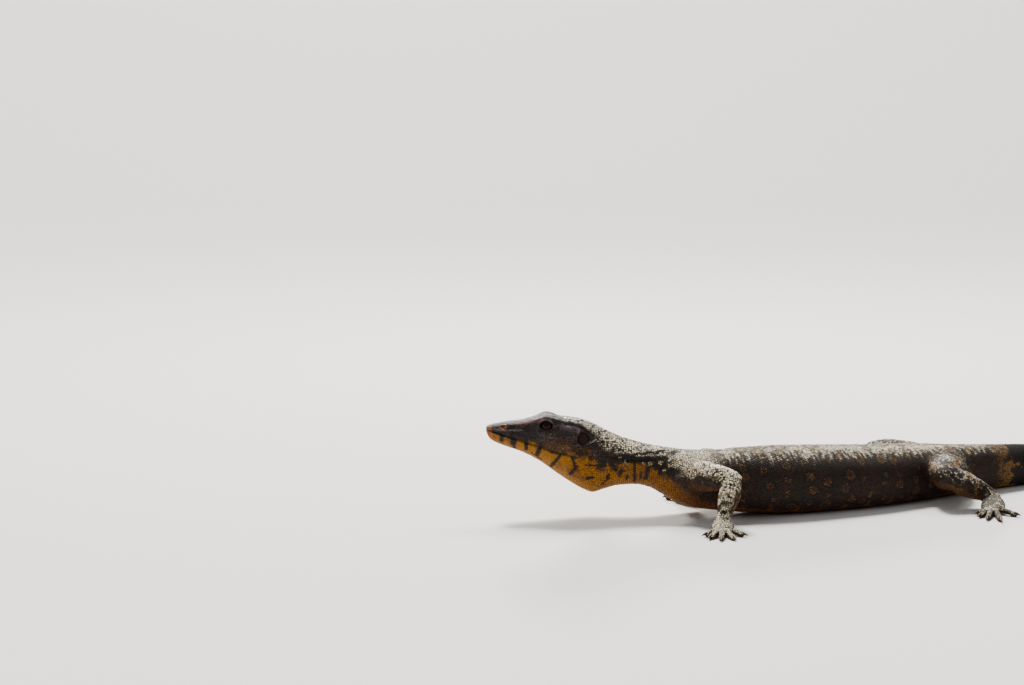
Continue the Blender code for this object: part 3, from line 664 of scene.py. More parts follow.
skin_points[:, 2] = np.clip(skin_points[:, 2], COAT, highest - 0.15)
skin.data.vertices.foreach_set("co", (skin_points * MM).ravel())
skin.data.update()
skin.data.shade_smooth()
skin_normals = rows_of(skin.data.vertices, "normal")

# Markings and painted light, the same on the skin and the scales over it, as shares at each point.
# Lines and spots of the face and neck go by the distance from the snout and the height over the
# floor, in mm, as they show from the side.
DARK_LINES = {
    "lip bars": (((11, 62.4), (11.2, 57.6), 1.25), ((19.2, 61), (19.8, 55), 1.9),
                 ((19.8, 55), (20.6, 52), 1.0), ((28.8, 58.6), (29, 51.5), 1.4),
                 ((39.6, 56), (36.6, 47), 1.2)),
    "jaw edge": (((32.4, 48.9), (40, 43.6), 0.5),),
    "throat bars": (((53.2, 48.2), (46.8, 38.8), 1.15), ((61.6, 46.9), (64.4, 39.1), 1.1),
                    ((64.4, 39.1), (60.4, 33.5), 1.1), ((73.2, 30.3), (76.6, 31.2), 1.2),
                    ((83.8, 25.8), (88.4, 30.7), 0.7), ((71.6, 40.8), (84, 38.9), 0.6)),
    "neck blotches": (((89.6, 41.1), (93.2, 37.2), 1.9), ((97.4, 37.2), (96.2, 32.3), 1.2),
                      ((106.4, 41), (107.2, 28), 1.15), ((116.6, 39.8), (115, 30.5), 1.5),
                      ((121.8, 43.8), (121.4, 38), 1.1), ((88.4, 33), (86.6, 29.6), 0.7),
                      ((111.6, 35), (110.8, 29.5), 0.6), ((101.6, 33), (101.2, 29), 0.6)),
    # Painted shadow under the two neck folds.
    "painted shadow under the neck folds": (((98.4, 46.2), (110.4, 44.5), 1.4), ((110.4, 44.5), (127, 44.6), 1.5),
                             ((105.6, 48), (118, 48.3), 0.6), ((118, 48.3), (129, 49.3), 0.6)),
    "shoulder line": (((138, 48.7), (132.4, 47.4), 1.0), ((132.4, 47.4), (128.4, 42.4), 1.1),
                      ((128.4, 42.4), (124.6, 34.5), 1.2)),
    "temple": (((51.5, 71.4), (60.4, 69.8), 0.8), ((60.4, 69.8), (67.6, 67.4), 0.9),
               ((67.6, 67.4), (73, 64.2), 1.0)),
    # Painted shadow under the edge below the ear.
    "painted shadow under the edge below the ear": (((62, 54.2), (70, 54), 0.6), ((70, 54), (75, 55.6), 0.6),
                                     ((75, 55.6), (84, 57), 0.7)),
}
# White edges along the two neck folds, the edge below the ear and the temple: painted highlight,
# not pigment.
PAINTED_HIGHLIGHT_LINES = (((92, 48.6), (105.6, 49.8), 0.55), ((105.6, 49.8), (126, 50.6), 0.6),
              ((107.6, 46.6), (114, 47), 0.6), ((114, 47), (121, 47.8), 0.6),
              ((121, 47.8), (128, 47.4), 0.6), ((75, 57.4), (81.2, 58.8), 0.6),
              ((81.2, 58.8), (88, 60.6), 0.8), ((55, 73.4), (60.4, 72.4), 0.6),
              ((60.4, 72.4), (67.6, 70.2), 0.8), ((67.6, 70.2), (73.2, 67.2), 1.0),
              ((73.2, 67.2), (80, 62.6), 1.3))
SHEEN_LINES = (((9, 65.2), (15.6, 64.9), 0.7), ((15.6, 64.9), (26, 65.0), 0.45))
# Soft lilac streaks on the lip, behind the eye, under the eye and on the cheek: painted sheen, not
# pigment.
PAINTED_SHEEN_LINES = (((5.5, 65.2), (17, 63.2), 0.8), ((53.8, 64.2), (55.2, 69), 1.2),
              ((56, 67.4), (66, 68.2), 1.6), ((37.6, 62.6), (41.6, 63.8), 1.1),
              ((24, 63.2), (33, 62.4), 0.8), ((44, 61.2), (52, 59.8), 0.9),
              ((58, 60.2), (63.5, 60.6), 1.3), ((63, 55.3), (70, 55.4), 0.7),
              ((70, 55.4), (76, 57.6), 0.8))
RUST_LINES = (((22, 68.2), (33, 71.4), 1.3), ((33, 71.4), (39.5, 73.6), 1.5),
              ((65.2, 59.7), (66, 63.9), 0.6), ((66, 63.9), (68, 65.9), 0.7),
              ((68, 65.9), (73, 66.3), 0.7))
CREAM_SPOTS = ((132, 45.6, 1.5), (124.8, 41.6, 1.4), (131.6, 39.8, 1.5), (128, 36.8, 1.3),
               (118, 41.2, 1.5), (96.8, 45, 1.1), (100, 42, 1.3), (136, 42, 1.4), (113, 41.6, 0.9))
OCHRE_EDGE = ((0, -6), (5, -9), (10, -5), (15, 0), (24, 1), (32, 3), (40, 2), (53, 1), (64, 2),
              (72, 0), (82, -4), (97, 4), (110, 12), (121, 6), (128, -1), (140, -13), (160, -34),
              (200, -46), (380, -48), (420, -56), (995, -62))
EYELET_ROWS, EYELET_STEP, STRIPE_STEP, BAR_STEP, BAND_STEP = 15.0, 22.0, 2.3, 19.0, 40.0
# Two of these shares are painted light, not pigment: white painted highlights and lilac painted
# sheen.
PIGMENTS = ("ochre", "black", "orange", "slate", "rust", "cream", "yellow", "painted_highlight", "amber", "painted_sheen")
EYE, NOSTRIL, EAR = 0, 1, 2


def grain(points, size, seed):
    """Smooth random values from 0 to 1 through space, with blobs about size across."""
    cell = points / size + 100.5
    base = np.floor(cell).astype(np.int64)
    part = cell - base
    part = part * part * (3 - 2 * part)
    out = np.zeros(len(points))
    for corner in range(8):
        step = np.array((corner & 1, corner >> 1 & 1, corner >> 2 & 1))
        spot = base + step
        mixed = spot[:, 0] * 73856093 ^ spot[:, 1] * 19349663 ^ spot[:, 2] * 83492791 ^ seed * 977
        mixed = (mixed ^ mixed >> 13) * 1274126177 & 0x7FFFFFFF
        weight = np.prod(np.where(step, part, 1 - part), axis=1)
        out += weight * (mixed % 65521 / 65520)
    return out


def drawn(place, height, lines, ragged):
    """1 on any of the drawn lines and 0 away from them, with a soft and ragged edge."""
    share = np.zeros(len(place))
    for (s0, z0), (s1, z1), half in lines:
        away = off_segment(place - s0, height - z0, s1 - s0, z1 - z0)
        share = np.maximum(share, soft_step(away - ragged, half * 1.25 + 0.2, half * 0.7))
    return share


spot_rng = np.random.default_rng(11)
spot_centres, spot_sizes = [], []
for row, place in enumerate(np.arange(152, 392, EYELET_ROWS)):
    for lift in np.arange(-26, 91, EYELET_STEP) + (row % 2) * 8:
        for side in (0, 1):
            around = lift if side else 180 - lift
            spot = place + spot_rng.uniform(-3, 3), around + spot_rng.uniform(-6, 6)
            spot_centres.append(body_points(*spot))
            spot_sizes.append(spot_rng.uniform(1.2, 3.9))
spot_centres, spot_sizes = np.array(spot_centres), np.array(spot_sizes)


class Pigments(dict):
    """The share of each pigment and painted light, from 0 to 1, at points of the surface."""

    def add(self, name, share):
        self[name] = np.maximum(self[name], share)

    def hide(self, name, share):
        self[name] = self[name] * (1 - share)


def described(points, normals, places):
    """What the markings go by: the places of points (mm) and random values of three sizes."""
    at = SimpleNamespace(points=points, height=points[:, 2], upper=normals[:, 2], **places)
    at.blur, at.fine, at.coarse = (grain(points, size, seed) - 0.5
                                   for size, seed in ((3.2, 1), (1.3, 2), (9.0, 3)))
    at.ragged = at.fine * 0.8 + at.blur * 0.5
    at.head = soft_step(at.along, 86, 74)
    at.sideways = soft_step(at.lift, 84, 70)
    spikes = np.clip(1 - np.abs(at.along % BAR_STEP - BAR_STEP / 2) / 3.2, 0, 1)
    at.edge = smooth_line(OCHRE_EDGE, at.along) + spikes * 26 * span(at.along, 175, 195, 365, 385)
    return at


def from_opening(points, kind, sizes=1.0, turned=False):
    """How far points are from the nearer of a pair of openings, in that opening's sizes."""
    return np.min([
        np.linalg.norm((points - centre) @ (turn if turned else np.eye(3)) / sizes, axis=1)
        for centre, turn, _, _ in openings[kind::3]], axis=0)


def colour_throat(at, ink):
    """Ochre throat and jaw with a mottled edge on the cheek, and dark freckles at its corner."""
    along, lift, blur, fine, edge = at.along, at.lift, at.blur, at.fine, at.edge
    spread = np.where(along < 45, 2.5, 9.0)
    ink.add("ochre", soft_step(lift + blur * spread * 1.8, edge + spread * 0.5, edge - spread))
    mottled = lift + blur * 15 + fine * 22 + at.coarse * 8
    cheek = soft_step(along, 34, 52) * at.head * soft_step(mottled, edge + 19, edge - 3)
    ink.add("ochre", cheek * (0.42 + blur * 0.4))
    freckled = span(along, 54, 66, 96, 112) * soft_step(lift, -32, -12) * soft_step(lift, 14, 4)
    ink.add("black", freckled * soft_step(fine + blur * 0.7, 0.02, 0.2) * 0.8)
    hazel = soft_step(along, 44, 54) * soft_step(lift, -14, 2) * soft_step(fine + blur, 0.0, 0.3)
    ink.add("black", at.head * hazel * 0.5)
    mottled = span(along, 92, 100, 130, 138) * soft_step(lift, edge - 6, edge + 4)
    mottled = mottled * soft_step(at.height, 47.5, 46)
    ink.add("black", mottled * soft_step(blur, 0.25, 0.0) * 0.85)
    ink.add("orange", soft_step(at.coarse + blur * 0.7, -0.05, 0.3) * 0.6)
    ink.add("orange", soft_step(along, 84, 112) * 0.45)
    ink.add("orange", soft_step(along, 122, 150))


def colour_face(at, ink):
    """Slate face, dark lines and eyes, painted shade in the ears, amber snout, rust before the
    eyes.
    """
    along, lift, blur, fine, edge = at.along, at.lift, at.blur, at.fine, at.edge
    # Dark markings; the lines under the neck folds and below the ear are painted shadow.
    for lines in DARK_LINES.values():
        ink.add("black", at.sideways * drawn(along, at.height, lines, at.ragged) * 0.95)
    nostrils = from_opening(at.points, NOSTRIL)
    ink.add("black", soft_step(nostrils, 5.6, 4.2) * soft_step(along, 24, 17) * 0.9)
    worn = soft_step(blur + fine * 0.6, 0.04, 0.24) * soft_step(lift, edge - 2, edge + 8)
    ink.add("black", at.head * worn * 0.65)
    ink.add("black", span(along, 3.6, 5.4, 9, 12) * soft_step(lift, 22, 32) * 0.6)
    lids = from_opening(at.points, EYE, (6.6, 4, 5.0), turned=True)
    ink.add("black", soft_step(lids + blur * 0.3, 1.15, 0.85) * 0.85)
    brow = span(along, 30, 37, 53, 59) * soft_step(lift, 46, 56)
    ink.add("black", brow * soft_step(lift + blur * 8, 92, 80) * 0.92)
    # Painted highlight on the edges of the upper lid folds: these rings lighten the black and,
    # below, take painted sheen.
    folds = np.exp(-(((lids - 0.8) / 0.07) ** 2)) + 0.8 * np.exp(-(((lids - 1.16) / 0.06) ** 2))
    folds = np.clip(folds, 0, 1) * soft_step(at.height, EYE_LIFT + 0.4, EYE_LIFT + 2.2)
    ink.hide("black", folds * 0.7)
    # Skin darkened in and round each ear opening: painted shade in the ear cup.
    ears = from_opening(at.points, EAR, (4.3, 3.5, 4.8))
    ink.add("black", soft_step(ears + blur * 0.35, 1.3, 0.95) * 0.9)

    rim = soft_step(nostrils, 3.3, 2.5)
    snout = soft_step(along, 5.2, 3.4) * soft_step(lift, 66, 52) * soft_step(lift, -60, -42)
    ink.add("amber", snout * (1 - 0.35 * soft_step(blur, 0.0, 0.25)))
    ink.add("amber", rim * (0.72 + blur))
    rust = at.sideways * drawn(along, at.height, RUST_LINES, at.ragged * 0.6) * 0.85
    ink.add("rust", rust * (0.7 + blur))
    ink.add("rust", rim * 0.45)
    for share in (rim, ink["amber"], 0.7 * ink["rust"]):
        ink.hide("black", share)
    # Painted shade deep in each nostril.
    ink.add("black", soft_step(nostrils, 2.0, 1.1) * 0.95)
    # Painted sheen: soft lilac highlights along the sheen lines, a granular painted highlight on
    # the scales of the upper face, and painted highlight on the lid folds.
    painted_sheen = at.sideways * drawn(along, at.height, PAINTED_SHEEN_LINES, at.ragged * 1.2) * (0.5 + blur)
    grainy = soft_step(fine + blur * 0.6, 0.12, 0.36) * soft_step(lift, edge + 2, edge + 12)
    ink.add("painted_sheen", at.head * np.maximum(painted_sheen, grainy * 0.4 * (1 - ink["amber"])))
    ink.add("painted_sheen", folds * (0.6 + blur * 0.6))
    slate = soft_step(lift, edge, edge + 5) * (0.95 - 0.5 * soft_step(along, 28, 48))
    ink.add("slate", at.head * slate * (0.8 + blur * 0.6))


def colour_neck(at, ink):
    """Cream neck, shoulders, crown and nape, partly painted highlight; spots and highlight lines.
    """
    along, lift, blur, fine, edge = at.along, at.lift, at.blur, at.fine, at.edge
    beads = soft_step(fine + blur * 0.5, -0.24, -0.06)
    spine = 1 - 0.55 * soft_step(lift, 70, 84)
    # Pale beads on the upper side of the neck: partly real pale scales, partly painted highlight
    # where light catches the beads.
    neck = span(along, 76, 88, 140, 172) * soft_step(lift + blur * 16, 20, 36)
    ink.add("cream", neck * 0.97 * beads * spine)
    tan = soft_step(blur + at.coarse * 0.6, 0.02, 0.3) * soft_step(lift, edge, edge + 10)
    ink.add("cream", at.head * tan * (0.07 + 0.1 * soft_step(along, 30, 55)))
    # A light wash on the top of the head: partly its greyer brown, partly painted highlight along
    # the top.
    crown = soft_step(along, 24, 44) * soft_step(lift, 66, 80) * soft_step(blur, -0.2, 0.2)
    ink.add("cream", at.head * crown * 0.24)
    # White nape with its black taken out: painted highlight on the top of the neck behind the head.
    nape = span(along, 50, 62, 88, 104) * soft_step(lift + blur * 12, 56, 68) * beads
    ink.add("cream", nape * 0.75)
    ink.hide("black", nape * 0.8)
    # Cream on the upper side of the shoulder: partly real pale scales, partly painted highlight.
    shoulder = span(along, 130, 139, 158, 172) * soft_step(lift + blur * 30 + fine * 26, 12, 36)
    ink.add("cream", shoulder * 0.88 * spine)
    for spot_along, spot_height, size in CREAM_SPOTS:
        gap = np.hypot(along - spot_along, at.height - spot_height) + at.ragged
        found = at.sideways * soft_step(gap, size * 1.2, size * 0.7)
        ink.add("yellow", found * 0.6)
        ink.hide("black", found)
        ink.add("cream", found * 0.8)
    # Painted highlights on the fold edges and the temple, and a faint painted sheen along the upper
    # lip.
    painted_highlight = drawn(along, at.height, PAINTED_HIGHLIGHT_LINES, fine * 0.6) * (0.42 + blur * 0.6)
    ink.add("painted_highlight", at.sideways * painted_highlight)
    ink.add("painted_highlight", at.sideways * drawn(along, at.height, SHEEN_LINES, blur * 0.5) * 0.15)


def colour_back(at, ink):
    """Fine cream bars over the back, and rows of ringed yellow spots on its dark sides."""
    along, lift, blur, fine, edge = at.along, at.lift, at.blur, at.fine, at.edge
    back = span(along, 148, 172, 380, 420)
    stripes = np.sin(along * 2 * np.pi / STRIPE_STEP + at.coarse * 7)
    barred = soft_step(lift + stripes * 10 + blur * 14 + at.coarse * 12, 50, 66)
    barred = barred * soft_step(fine + blur * 0.3, -0.42, -0.12)
    ink.add("cream", back * barred * (1 - 0.6 * soft_step(lift, 74, 86)) * 0.9)
    ink.add("black", back * soft_step(lift, 60, 40) * soft_step(edge - lift, 4, -8) * 0.45)
    away = np.full(len(at.points), 9.0)
    for centre, size in zip(spot_centres, spot_sizes):
        away = np.minimum(away, np.linalg.norm(at.points - centre, axis=1) / size)
    away = away + at.ragged * 0.7
    eyelets = back * soft_step(away, 1.15, 0.8) * soft_step(edge - lift, 2, -4)
    ink.add("black", back * soft_step(away, 2.2, 1.3) * (1 - eyelets) * 0.75)
    ink.add("rust", soft_step(at.coarse + fine * 0.3, 0.0, 0.2) * back * 0.25)
    ink.add("rust", eyelets * 0.5 * soft_step(lift, 50, 20))
    strong = 0.5 + 0.25 * soft_step(lift, 30, 70) + blur * 0.6
    ink.add("yellow", eyelets * strong * (1 - 0.9 * soft_step(away, 0.62, 0.35)))


def colour_tail(at, ink):
    """Yellow bands and flecks on the dark tail, and dark bars across the belly."""
    along, lift, blur, fine, edge = at.along, at.lift, at.blur, at.fine, at.edge
    tail = soft_step(along, 385, 430)
    bands = soft_step(np.sin(along * 2 * np.pi / BAND_STEP) + blur * 1.3, 0.3, 0.7)
    flecks = soft_step(grain(at.points, 3.4, 8), 0.7, 0.78) * soft_step(along, 760, 560) * 0.8
    ink.add("black", tail * (1 - bands) * 0.85)
    ink.add("yellow", tail * bands * soft_step(fine + blur, -0.3, 0.0) * 0.9)
    ink.add("yellow", tail * (1 - bands) * flecks)
    ink.hide("black", tail * (1 - bands) * flecks)
    bars = soft_step(np.sin(along * 2 * np.pi / BAR_STEP) + blur * 1.2, 0.45, 0.85)
    belly = soft_step(along, 160, 185) * soft_step(lift, edge - 8, edge - 18) * (1 - tail)
    ink.add("black", belly * bars * 0.75)


def colour_limbs(at, ink):
    """Limb tops cream, partly painted light, dark speckles, ochre under them, dots on the legs."""
    blur, fine, front = at.blur, at.fine, at.limb < FIRST_LEG
    hand = soft_step(at.reach, 1.9, 2.4)
    speckle = soft_step(fine + blur * 0.6, np.where(front, 0.12, -0.2), np.where(front, 0.3, 0.1))
    speckle = speckle * (1 - 0.5 * soft_step(at.reach, 0.7, 0.2) * front)
    dots = soft_step(grain(at.points, 4.2, 9) + fine * 0.2, 0.62, 0.7) * (1 - hand)
    under = soft_step(at.upper + blur * 0.5, -0.15, -0.6)
    # Cream where a limb or hand faces up: partly the pale upper sides of the limbs, partly painted
    # light from above.
    light = np.where(front, 0.9, 0.5) * soft_step(at.upper + blur * 0.9, -0.1, 0.45) * (1 - speckle)
    light = light * (1 - hand) + hand * soft_step(at.upper + fine * 1.2, 0.0, 0.5) * 0.85
    on_limb = soft_step(at.limb_away - at.body_away, 3.0, -3.0) * (at.along >= LIMBS_FROM)
    for name, share in {
        "black": speckle * (1 - under) * 0.75, "ochre": under * 0.5, "orange": 1, "cream": light,
        "yellow": dots * np.where(front, 0.35, 0.9) * (1 - under), "slate": 0, "rust": 0,
    }.items():
        ink[name] = ink[name] * (1 - on_limb) + on_limb * share


def markings(points, normals, places):
    """Shares of the pigments and painted light at points (mm) of the surface."""
    at = described(points, normals, places)
    ink = Pigments({name: np.zeros(len(points)) for name in PIGMENTS})
    for colour in (colour_throat, colour_face, colour_neck, colour_back, colour_tail, colour_limbs):
        colour(at, ink)
    return ink


def store(mesh, shares):
    for name, values in shares.items():
        layer = mesh.attributes.new(name, "FLOAT", "POINT")
        layer.data.foreach_set("value", np.clip(values, 0, 1).astype(np.float32))


class Shade:
    """A shader socket that ordinary arithmetic works on."""

    def __init__(self, tree, socket=None):
        self.tree, self.socket = tree, socket

    def node(self, kind, settings=(), output=0, **inputs):
        """One output of a new node. Sockets go by name, or by i and their number."""
        made = self.tree.nodes.new(kind)
        for name, value in dict(settings).items():
            setattr(made, name, value)
        for name, value in inputs.items():
            socket = made.inputs[int(name[1:]) if name[1:].isdigit() else name.replace("_", " ")]
            if isinstance(value, Shade):
                self.tree.links.new(value.socket, socket)
            else:
                socket.default_value = value
        return Shade(self.tree, made.outputs[output])

    def math(self, operation, one, two, clamp=False):
        settings = {"operation": operation, "use_clamp": clamp}
        return self.node("ShaderNodeMath", settings, i0=one, i1=two)

    def __add__(self, other):
        return self.math("ADD", self, other)

    def __radd__(self, other):
        return self.math("ADD", other, self)

    def __sub__(self, other):
        return self.math("SUBTRACT", self, other)

    def __rsub__(self, other):
        return self.math("SUBTRACT", other, self)

    def __mul__(self, other):
        return self.math("MULTIPLY", self, other)

    def mix(self, share, other, blend="MIX"):
        """This colour with a share of another one over it."""
        other = (*other, 1) if isinstance(other, tuple) else other
        settings = {"data_type": "RGBA", "blend_type": blend}
        return self.node("ShaderNodeMix", settings, 2, i0=share, i6=self, i7=other)

    def noise(self, scale, detail):
        """Random values through space, read at this place."""
        return self.node("ShaderNodeTexNoise", Vector=self, Scale=scale, Detail=detail)

    def attribute(self, name):
        return self.node("ShaderNodeAttribute", {"attribute_name": name}, "Fac")

    def colour(self, value):
        made = self.node("ShaderNodeRGB")
        made.socket.default_value = (*value, 1)
        return made


def finish_of(name):
    """A new material, with its shader node and the wrapped place on the piece."""
    material = bpy.data.materials.new(name)
    material.use_nodes = True
    place = Shade(material.node_tree).node("ShaderNodeTexCoord", output="Object")
    return material, material.node_tree.nodes["Principled BSDF"], place


def plug(shader, name, shade):
    shade.tree.links.new(shade.socket, shader.inputs[name])


# Two of these colours are painted light: the near-white of painted highlights and the lilac of
# painted sheen.
COLOURS = {
    "dark": (0.020, 0.012, 0.008), "brown": (0.078, 0.040, 0.021), "slate": (0.021, 0.013, 0.018),
    "rust": (0.17, 0.034, 0.020), "painted_sheen": (0.125, 0.088, 0.108), "ochre": (0.39, 0.170, 0.011),
    "orange": (0.185, 0.066, 0.012), "amber": (0.43, 0.135, 0.022), "cream": (0.86, 0.78, 0.59),
    "yellow": (0.42, 0.225, 0.055), "painted_highlight": (0.84, 0.77, 0.64), "black": (0.008, 0.006, 0.006),
    "gap": (0.016, 0.011, 0.008),
}
BUMP_STRENGTH, BUMP_HIGH, HIDE_SPECULAR = 0.35, 0.00008, 0.46


def hide_finish(name, between_scales):
    """Dry scaled hide coloured by its pigments and painted light. Between the scales it is darker.
    """
    material, shader, place = finish_of(name)
    share = {pigment: place.attribute(pigment) for pigment in PIGMENTS}
    mottle, grit = place.noise(320.0, 3.0), place.noise(2600.0, 2.0)
    flesh = place.colour(COLOURS["dark"]).mix(mottle, COLOURS["brown"])
    flesh = flesh.mix(share["slate"], COLOURS["slate"])
    throat = place.colour(COLOURS["ochre"]).mix(share["orange"], COLOURS["orange"])
    flesh = flesh.mix(share["ochre"], throat)
    for pigment in ("amber", "rust", "cream", "yellow", "black", "painted_sheen", "painted_highlight"):
        flesh = flesh.mix(share[pigment], COLOURS[pigment])
    if between_scales:
        hidden = 0.88 - place.attribute("bare") * 0.7 - share["ochre"] * 0.3
        flesh = flesh.mix(hidden, COLOURS["gap"])
        rough = 0.62 + grit * 0.12
    else:
        uneven = 0.74 - share["ochre"] * 0.34
        tone = 0.79 + (place.attribute("tone") - 0.5) * uneven + mottle * 0.3
        lit = place.node("ShaderNodeCombineColor", Red=tone, Green=tone, Blue=tone)
        flesh = flesh.mix(1.0, lit, "MULTIPLY")
        rough = 0.37 - share["slate"] * 0.11 + share["black"] * 0.2 + grit * 0.18
    plug(shader, "Base Color", flesh)
    plug(shader, "Roughness", rough)
    plug(shader, "Normal", place.node("ShaderNodeBump", Strength=BUMP_STRENGTH,
                                      Distance=BUMP_HIGH, Height=grit))
    shader.inputs["Specular IOR Level"].default_value = HIDE_SPECULAR
    return material


skin_shares = markings(skin_points, skin_normals, skin_where)
skin_shares["bare"] = soft_step(off_openings(skin_points, 6), 1.25, 1.05)
store(skin.data, skin_shares)
skin.data.materials.clear()
skin.data.materials.append(hide_finish("Hide between the scales", True))
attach(skin, "root")
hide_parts("head", "neck", "torso", "tail_base", "tail_front", "tail_middle", "tail_end",
            *(f"{part}_{side}" for side in ("left", "right")
              for part in ("upper_arm", "forearm", "hand", "thigh", "shank", "foot")))

# Scales. Each one is a small closed bead of horn in a staggered row across the body, round on the
# head, neck and limbs, keeled on the back and tail, and flat and broad under the belly.
SCALE_LONG = ((0, 0.85), (20, 0.95), (50, 1.1), (72, 1.2), (84, 1.55), (140, 1.6), (180, 1.75),
              (360, 1.85), (420, 2.0), (760, 1.9), (995, 1.5))
SCALE_WIDE = ((0, 0.85), (20, 0.95), (50, 1.1), (72, 1.2), (84, 1.6), (140, 1.65), (180, 1.7),
              (360, 1.7), (420, 1.5), (760, 1.2), (995, 0.9))
SCALE_HIGH = ((0, 0.16), (50, 0.22), (80, 0.34), (140, 0.38), (300, 0.34), (995, 0.26))
LIMB_SCALE, HAND_SCALE = 1.5, 1.15
LIMB_SCALE_HIGH, HAND_SCALE_HIGH = 0.32, 0.24
BEADS_END, BELLY_FROM, BELLY_LIFT, HEAD_END = 165, 140, -42, 76
LENGTH_SHARE, WIDTH_SHARE = 0.56, 0.5
ROWS_APART, LIMB_ROWS_APART = 0.9, 0.86
ROOT_REACH, BODY_ROOM, THINNED_TO, THIN_CELL = 0.75, 0.72, 0.68, 2
FILLER_ROOM, FILLER_GAP = 0.8, 1.15
PATCH = 0.0015


def crowned(outline, inset, crown_high, top_at):
    """Points and faces of a scale: a sunk foot, a smaller crown over it and one top point."""
    n = len(outline)
    points = np.vstack([np.column_stack([outline, np.full(n, -0.5)]),
                        np.column_stack([outline * inset, np.full(n, crown_high)]),
                        [[top_at, 0, 1.0]]])
    faces = []
    for i in range(n):
        j = (i + 1) % n
        faces += [(i, j, n + j), (i, n + j, n + i), (n + i, n + j, 2 * n)]
    faces += [(0, k + 1, k) for k in range(1, n - 1)]
    return points, np.array(faces)


def keeled():
    """Points and faces of a long scale with a keel that rises towards its rear."""
    foot = [(-1, 0.0), (-0.55, -0.9), (0.6, -0.95), (1.1, 0.0), (0.6, 0.95), (-0.55, 0.9)]
    points = np.vstack([np.column_stack([foot, np.full(6, -0.5)]),
                        [(-0.45, 0, 0.55), (0.62, 0, 1.1), (0.1, -0.5, 0.62), (0.1, 0.5, 0.62)]])
    faces = [(0, 1, 6), (1, 8, 6), (1, 2, 8), (2, 7, 8), (2, 3, 7), (3, 4, 7), (4, 9, 7), (4, 5, 9),
             (5, 6, 9), (5, 0, 6), (6, 8, 7), (6, 7, 9), (0, 2, 1), (0, 3, 2), (0, 4, 3), (0, 5, 4)]
    return points, np.array(faces)


six_turns = np.radians(np.arange(6) * 60 + 30)
BEAD = crowned(np.column_stack([np.cos(six_turns), np.sin(six_turns)]), 0.74, 0.68, 0.0)
PLATE = crowned(np.array([(-1, -0.75), (-0.6, -1), (0.9, -0.9), (1.05, 0.0), (0.9, 0.9),
                          (-0.6, 1), (-1, 0.75)]), 0.82, 0.75, 0.1)


def beads_round(ring, ahead, wide, shift):
    """Roots spaced evenly round a closed ring of points, with the way to the tail at each."""
    closed = np.vstack([ring, ring[:1]])
    steps = np.linalg.norm(np.diff(closed, axis=0), axis=1)
    run = np.concatenate([[0], np.cumsum(steps)])
    number = max(5, round(run[-1] / wide))
    at = (np.arange(number) + shift) / number * run[-1]
    roots = np.column_stack([np.interp(at, run, closed[:, k]) for k in range(3)])
    forward = np.vstack([ahead, ahead[:1]])
    return roots, np.column_stack([np.interp(at, run, forward[:, k]) for k in range(3)])


fine_turns = np.arange(0, 360, 2.5) + 90
scatter = np.random.default_rng(3)
laid = []


def lay_row(ring, following, row, long, wide, uneven):
    """Adds one row of scales round a ring of points, every other row shifted by half a scale."""
    roots, ways = beads_round(ring, following - ring, wide, 0.5 * (row % 2))
    roots = roots + scatter.normal(0, uneven, roots.shape) * wide
    laid.append((roots, ways, np.full(len(roots), long), np.full(len(roots), wide)))


place, row = 0.7, 0
while place < TAIL_TIP - 1:
    long, wide = float(smooth_line(SCALE_LONG, place)), float(smooth_line(SCALE_WIDE, place))
    ring, following = body_points(place, fine_turns), body_points(place + 0.8, fine_turns)
    lay_row(ring, following, row, long, wide, 0.13 if place < BEADS_END else 0.07)
    place += long * ROWS_APART
    row += 1
body_count = sum(len(roots) for roots, _, _, _ in laid)
for limb, stage, rings in limb_parts:
    spacing = LIMB_SCALE if stage < PALM else HAND_SCALE
    run = 0.0
    for ring, following in zip(rings, rings[1:]):
        run += np.linalg.norm(np.mean(following, 0) - np.mean(ring, 0))
        if run < spacing * LIMB_ROWS_APART:
            continue
        run = 0.0
        row += 1
        lay_row(ring, following, row, spacing, spacing, 0.12)
roots, ways, long, wide = (np.concatenate(column) for column in zip(*laid))

surface = BVHTree.FromPolygons(skin_points.tolist(), skin_faces.tolist())


def laid_on_skin(roots):
    """The nearest places of the skin, with its smooth normal and the distance to each."""
    found = [surface.find_nearest(root) for root in roots.tolist()]
    spots = np.array([hit[0] for hit in found])
    faces = skin_faces[[hit[2] for hit in found]]
    away = np.array([hit[3] for hit in found])
    corners = skin_points[faces]
    a, b = corners[:, 1] - corners[:, 0], corners[:, 2] - corners[:, 0]
    c = spots - corners[:, 0]
    aa, ab, bb = np.sum(a * a, 1), np.sum(a * b, 1), np.sum(b * b, 1)
    ca, cb = np.sum(c * a, 1), np.sum(c * b, 1)
    area = np.maximum(aa * bb - ab * ab, 1e-12)
    v, w = (bb * ca - ab * cb) / area, (aa * cb - ab * ca) / area
    weights = np.clip(np.column_stack([1 - v - w, v, w]), 0, 1)
    normals = np.einsum("ij,ijk->ik", weights, skin_normals[faces])
    return spots, normals / np.linalg.norm(normals, axis=1)[:, None], away


spots, normals, away = laid_on_skin(roots)
kept = away < ROOT_REACH
tree = tree_of(spots[:body_count][kept[:body_count]].tolist())
later = np.arange(len(roots)) >= body_count
check = np.flatnonzero(kept & later)
_, near_body = nearest(tree, spots[check].tolist())
kept[check[near_body < BODY_ROOM * wide[check]]] = False


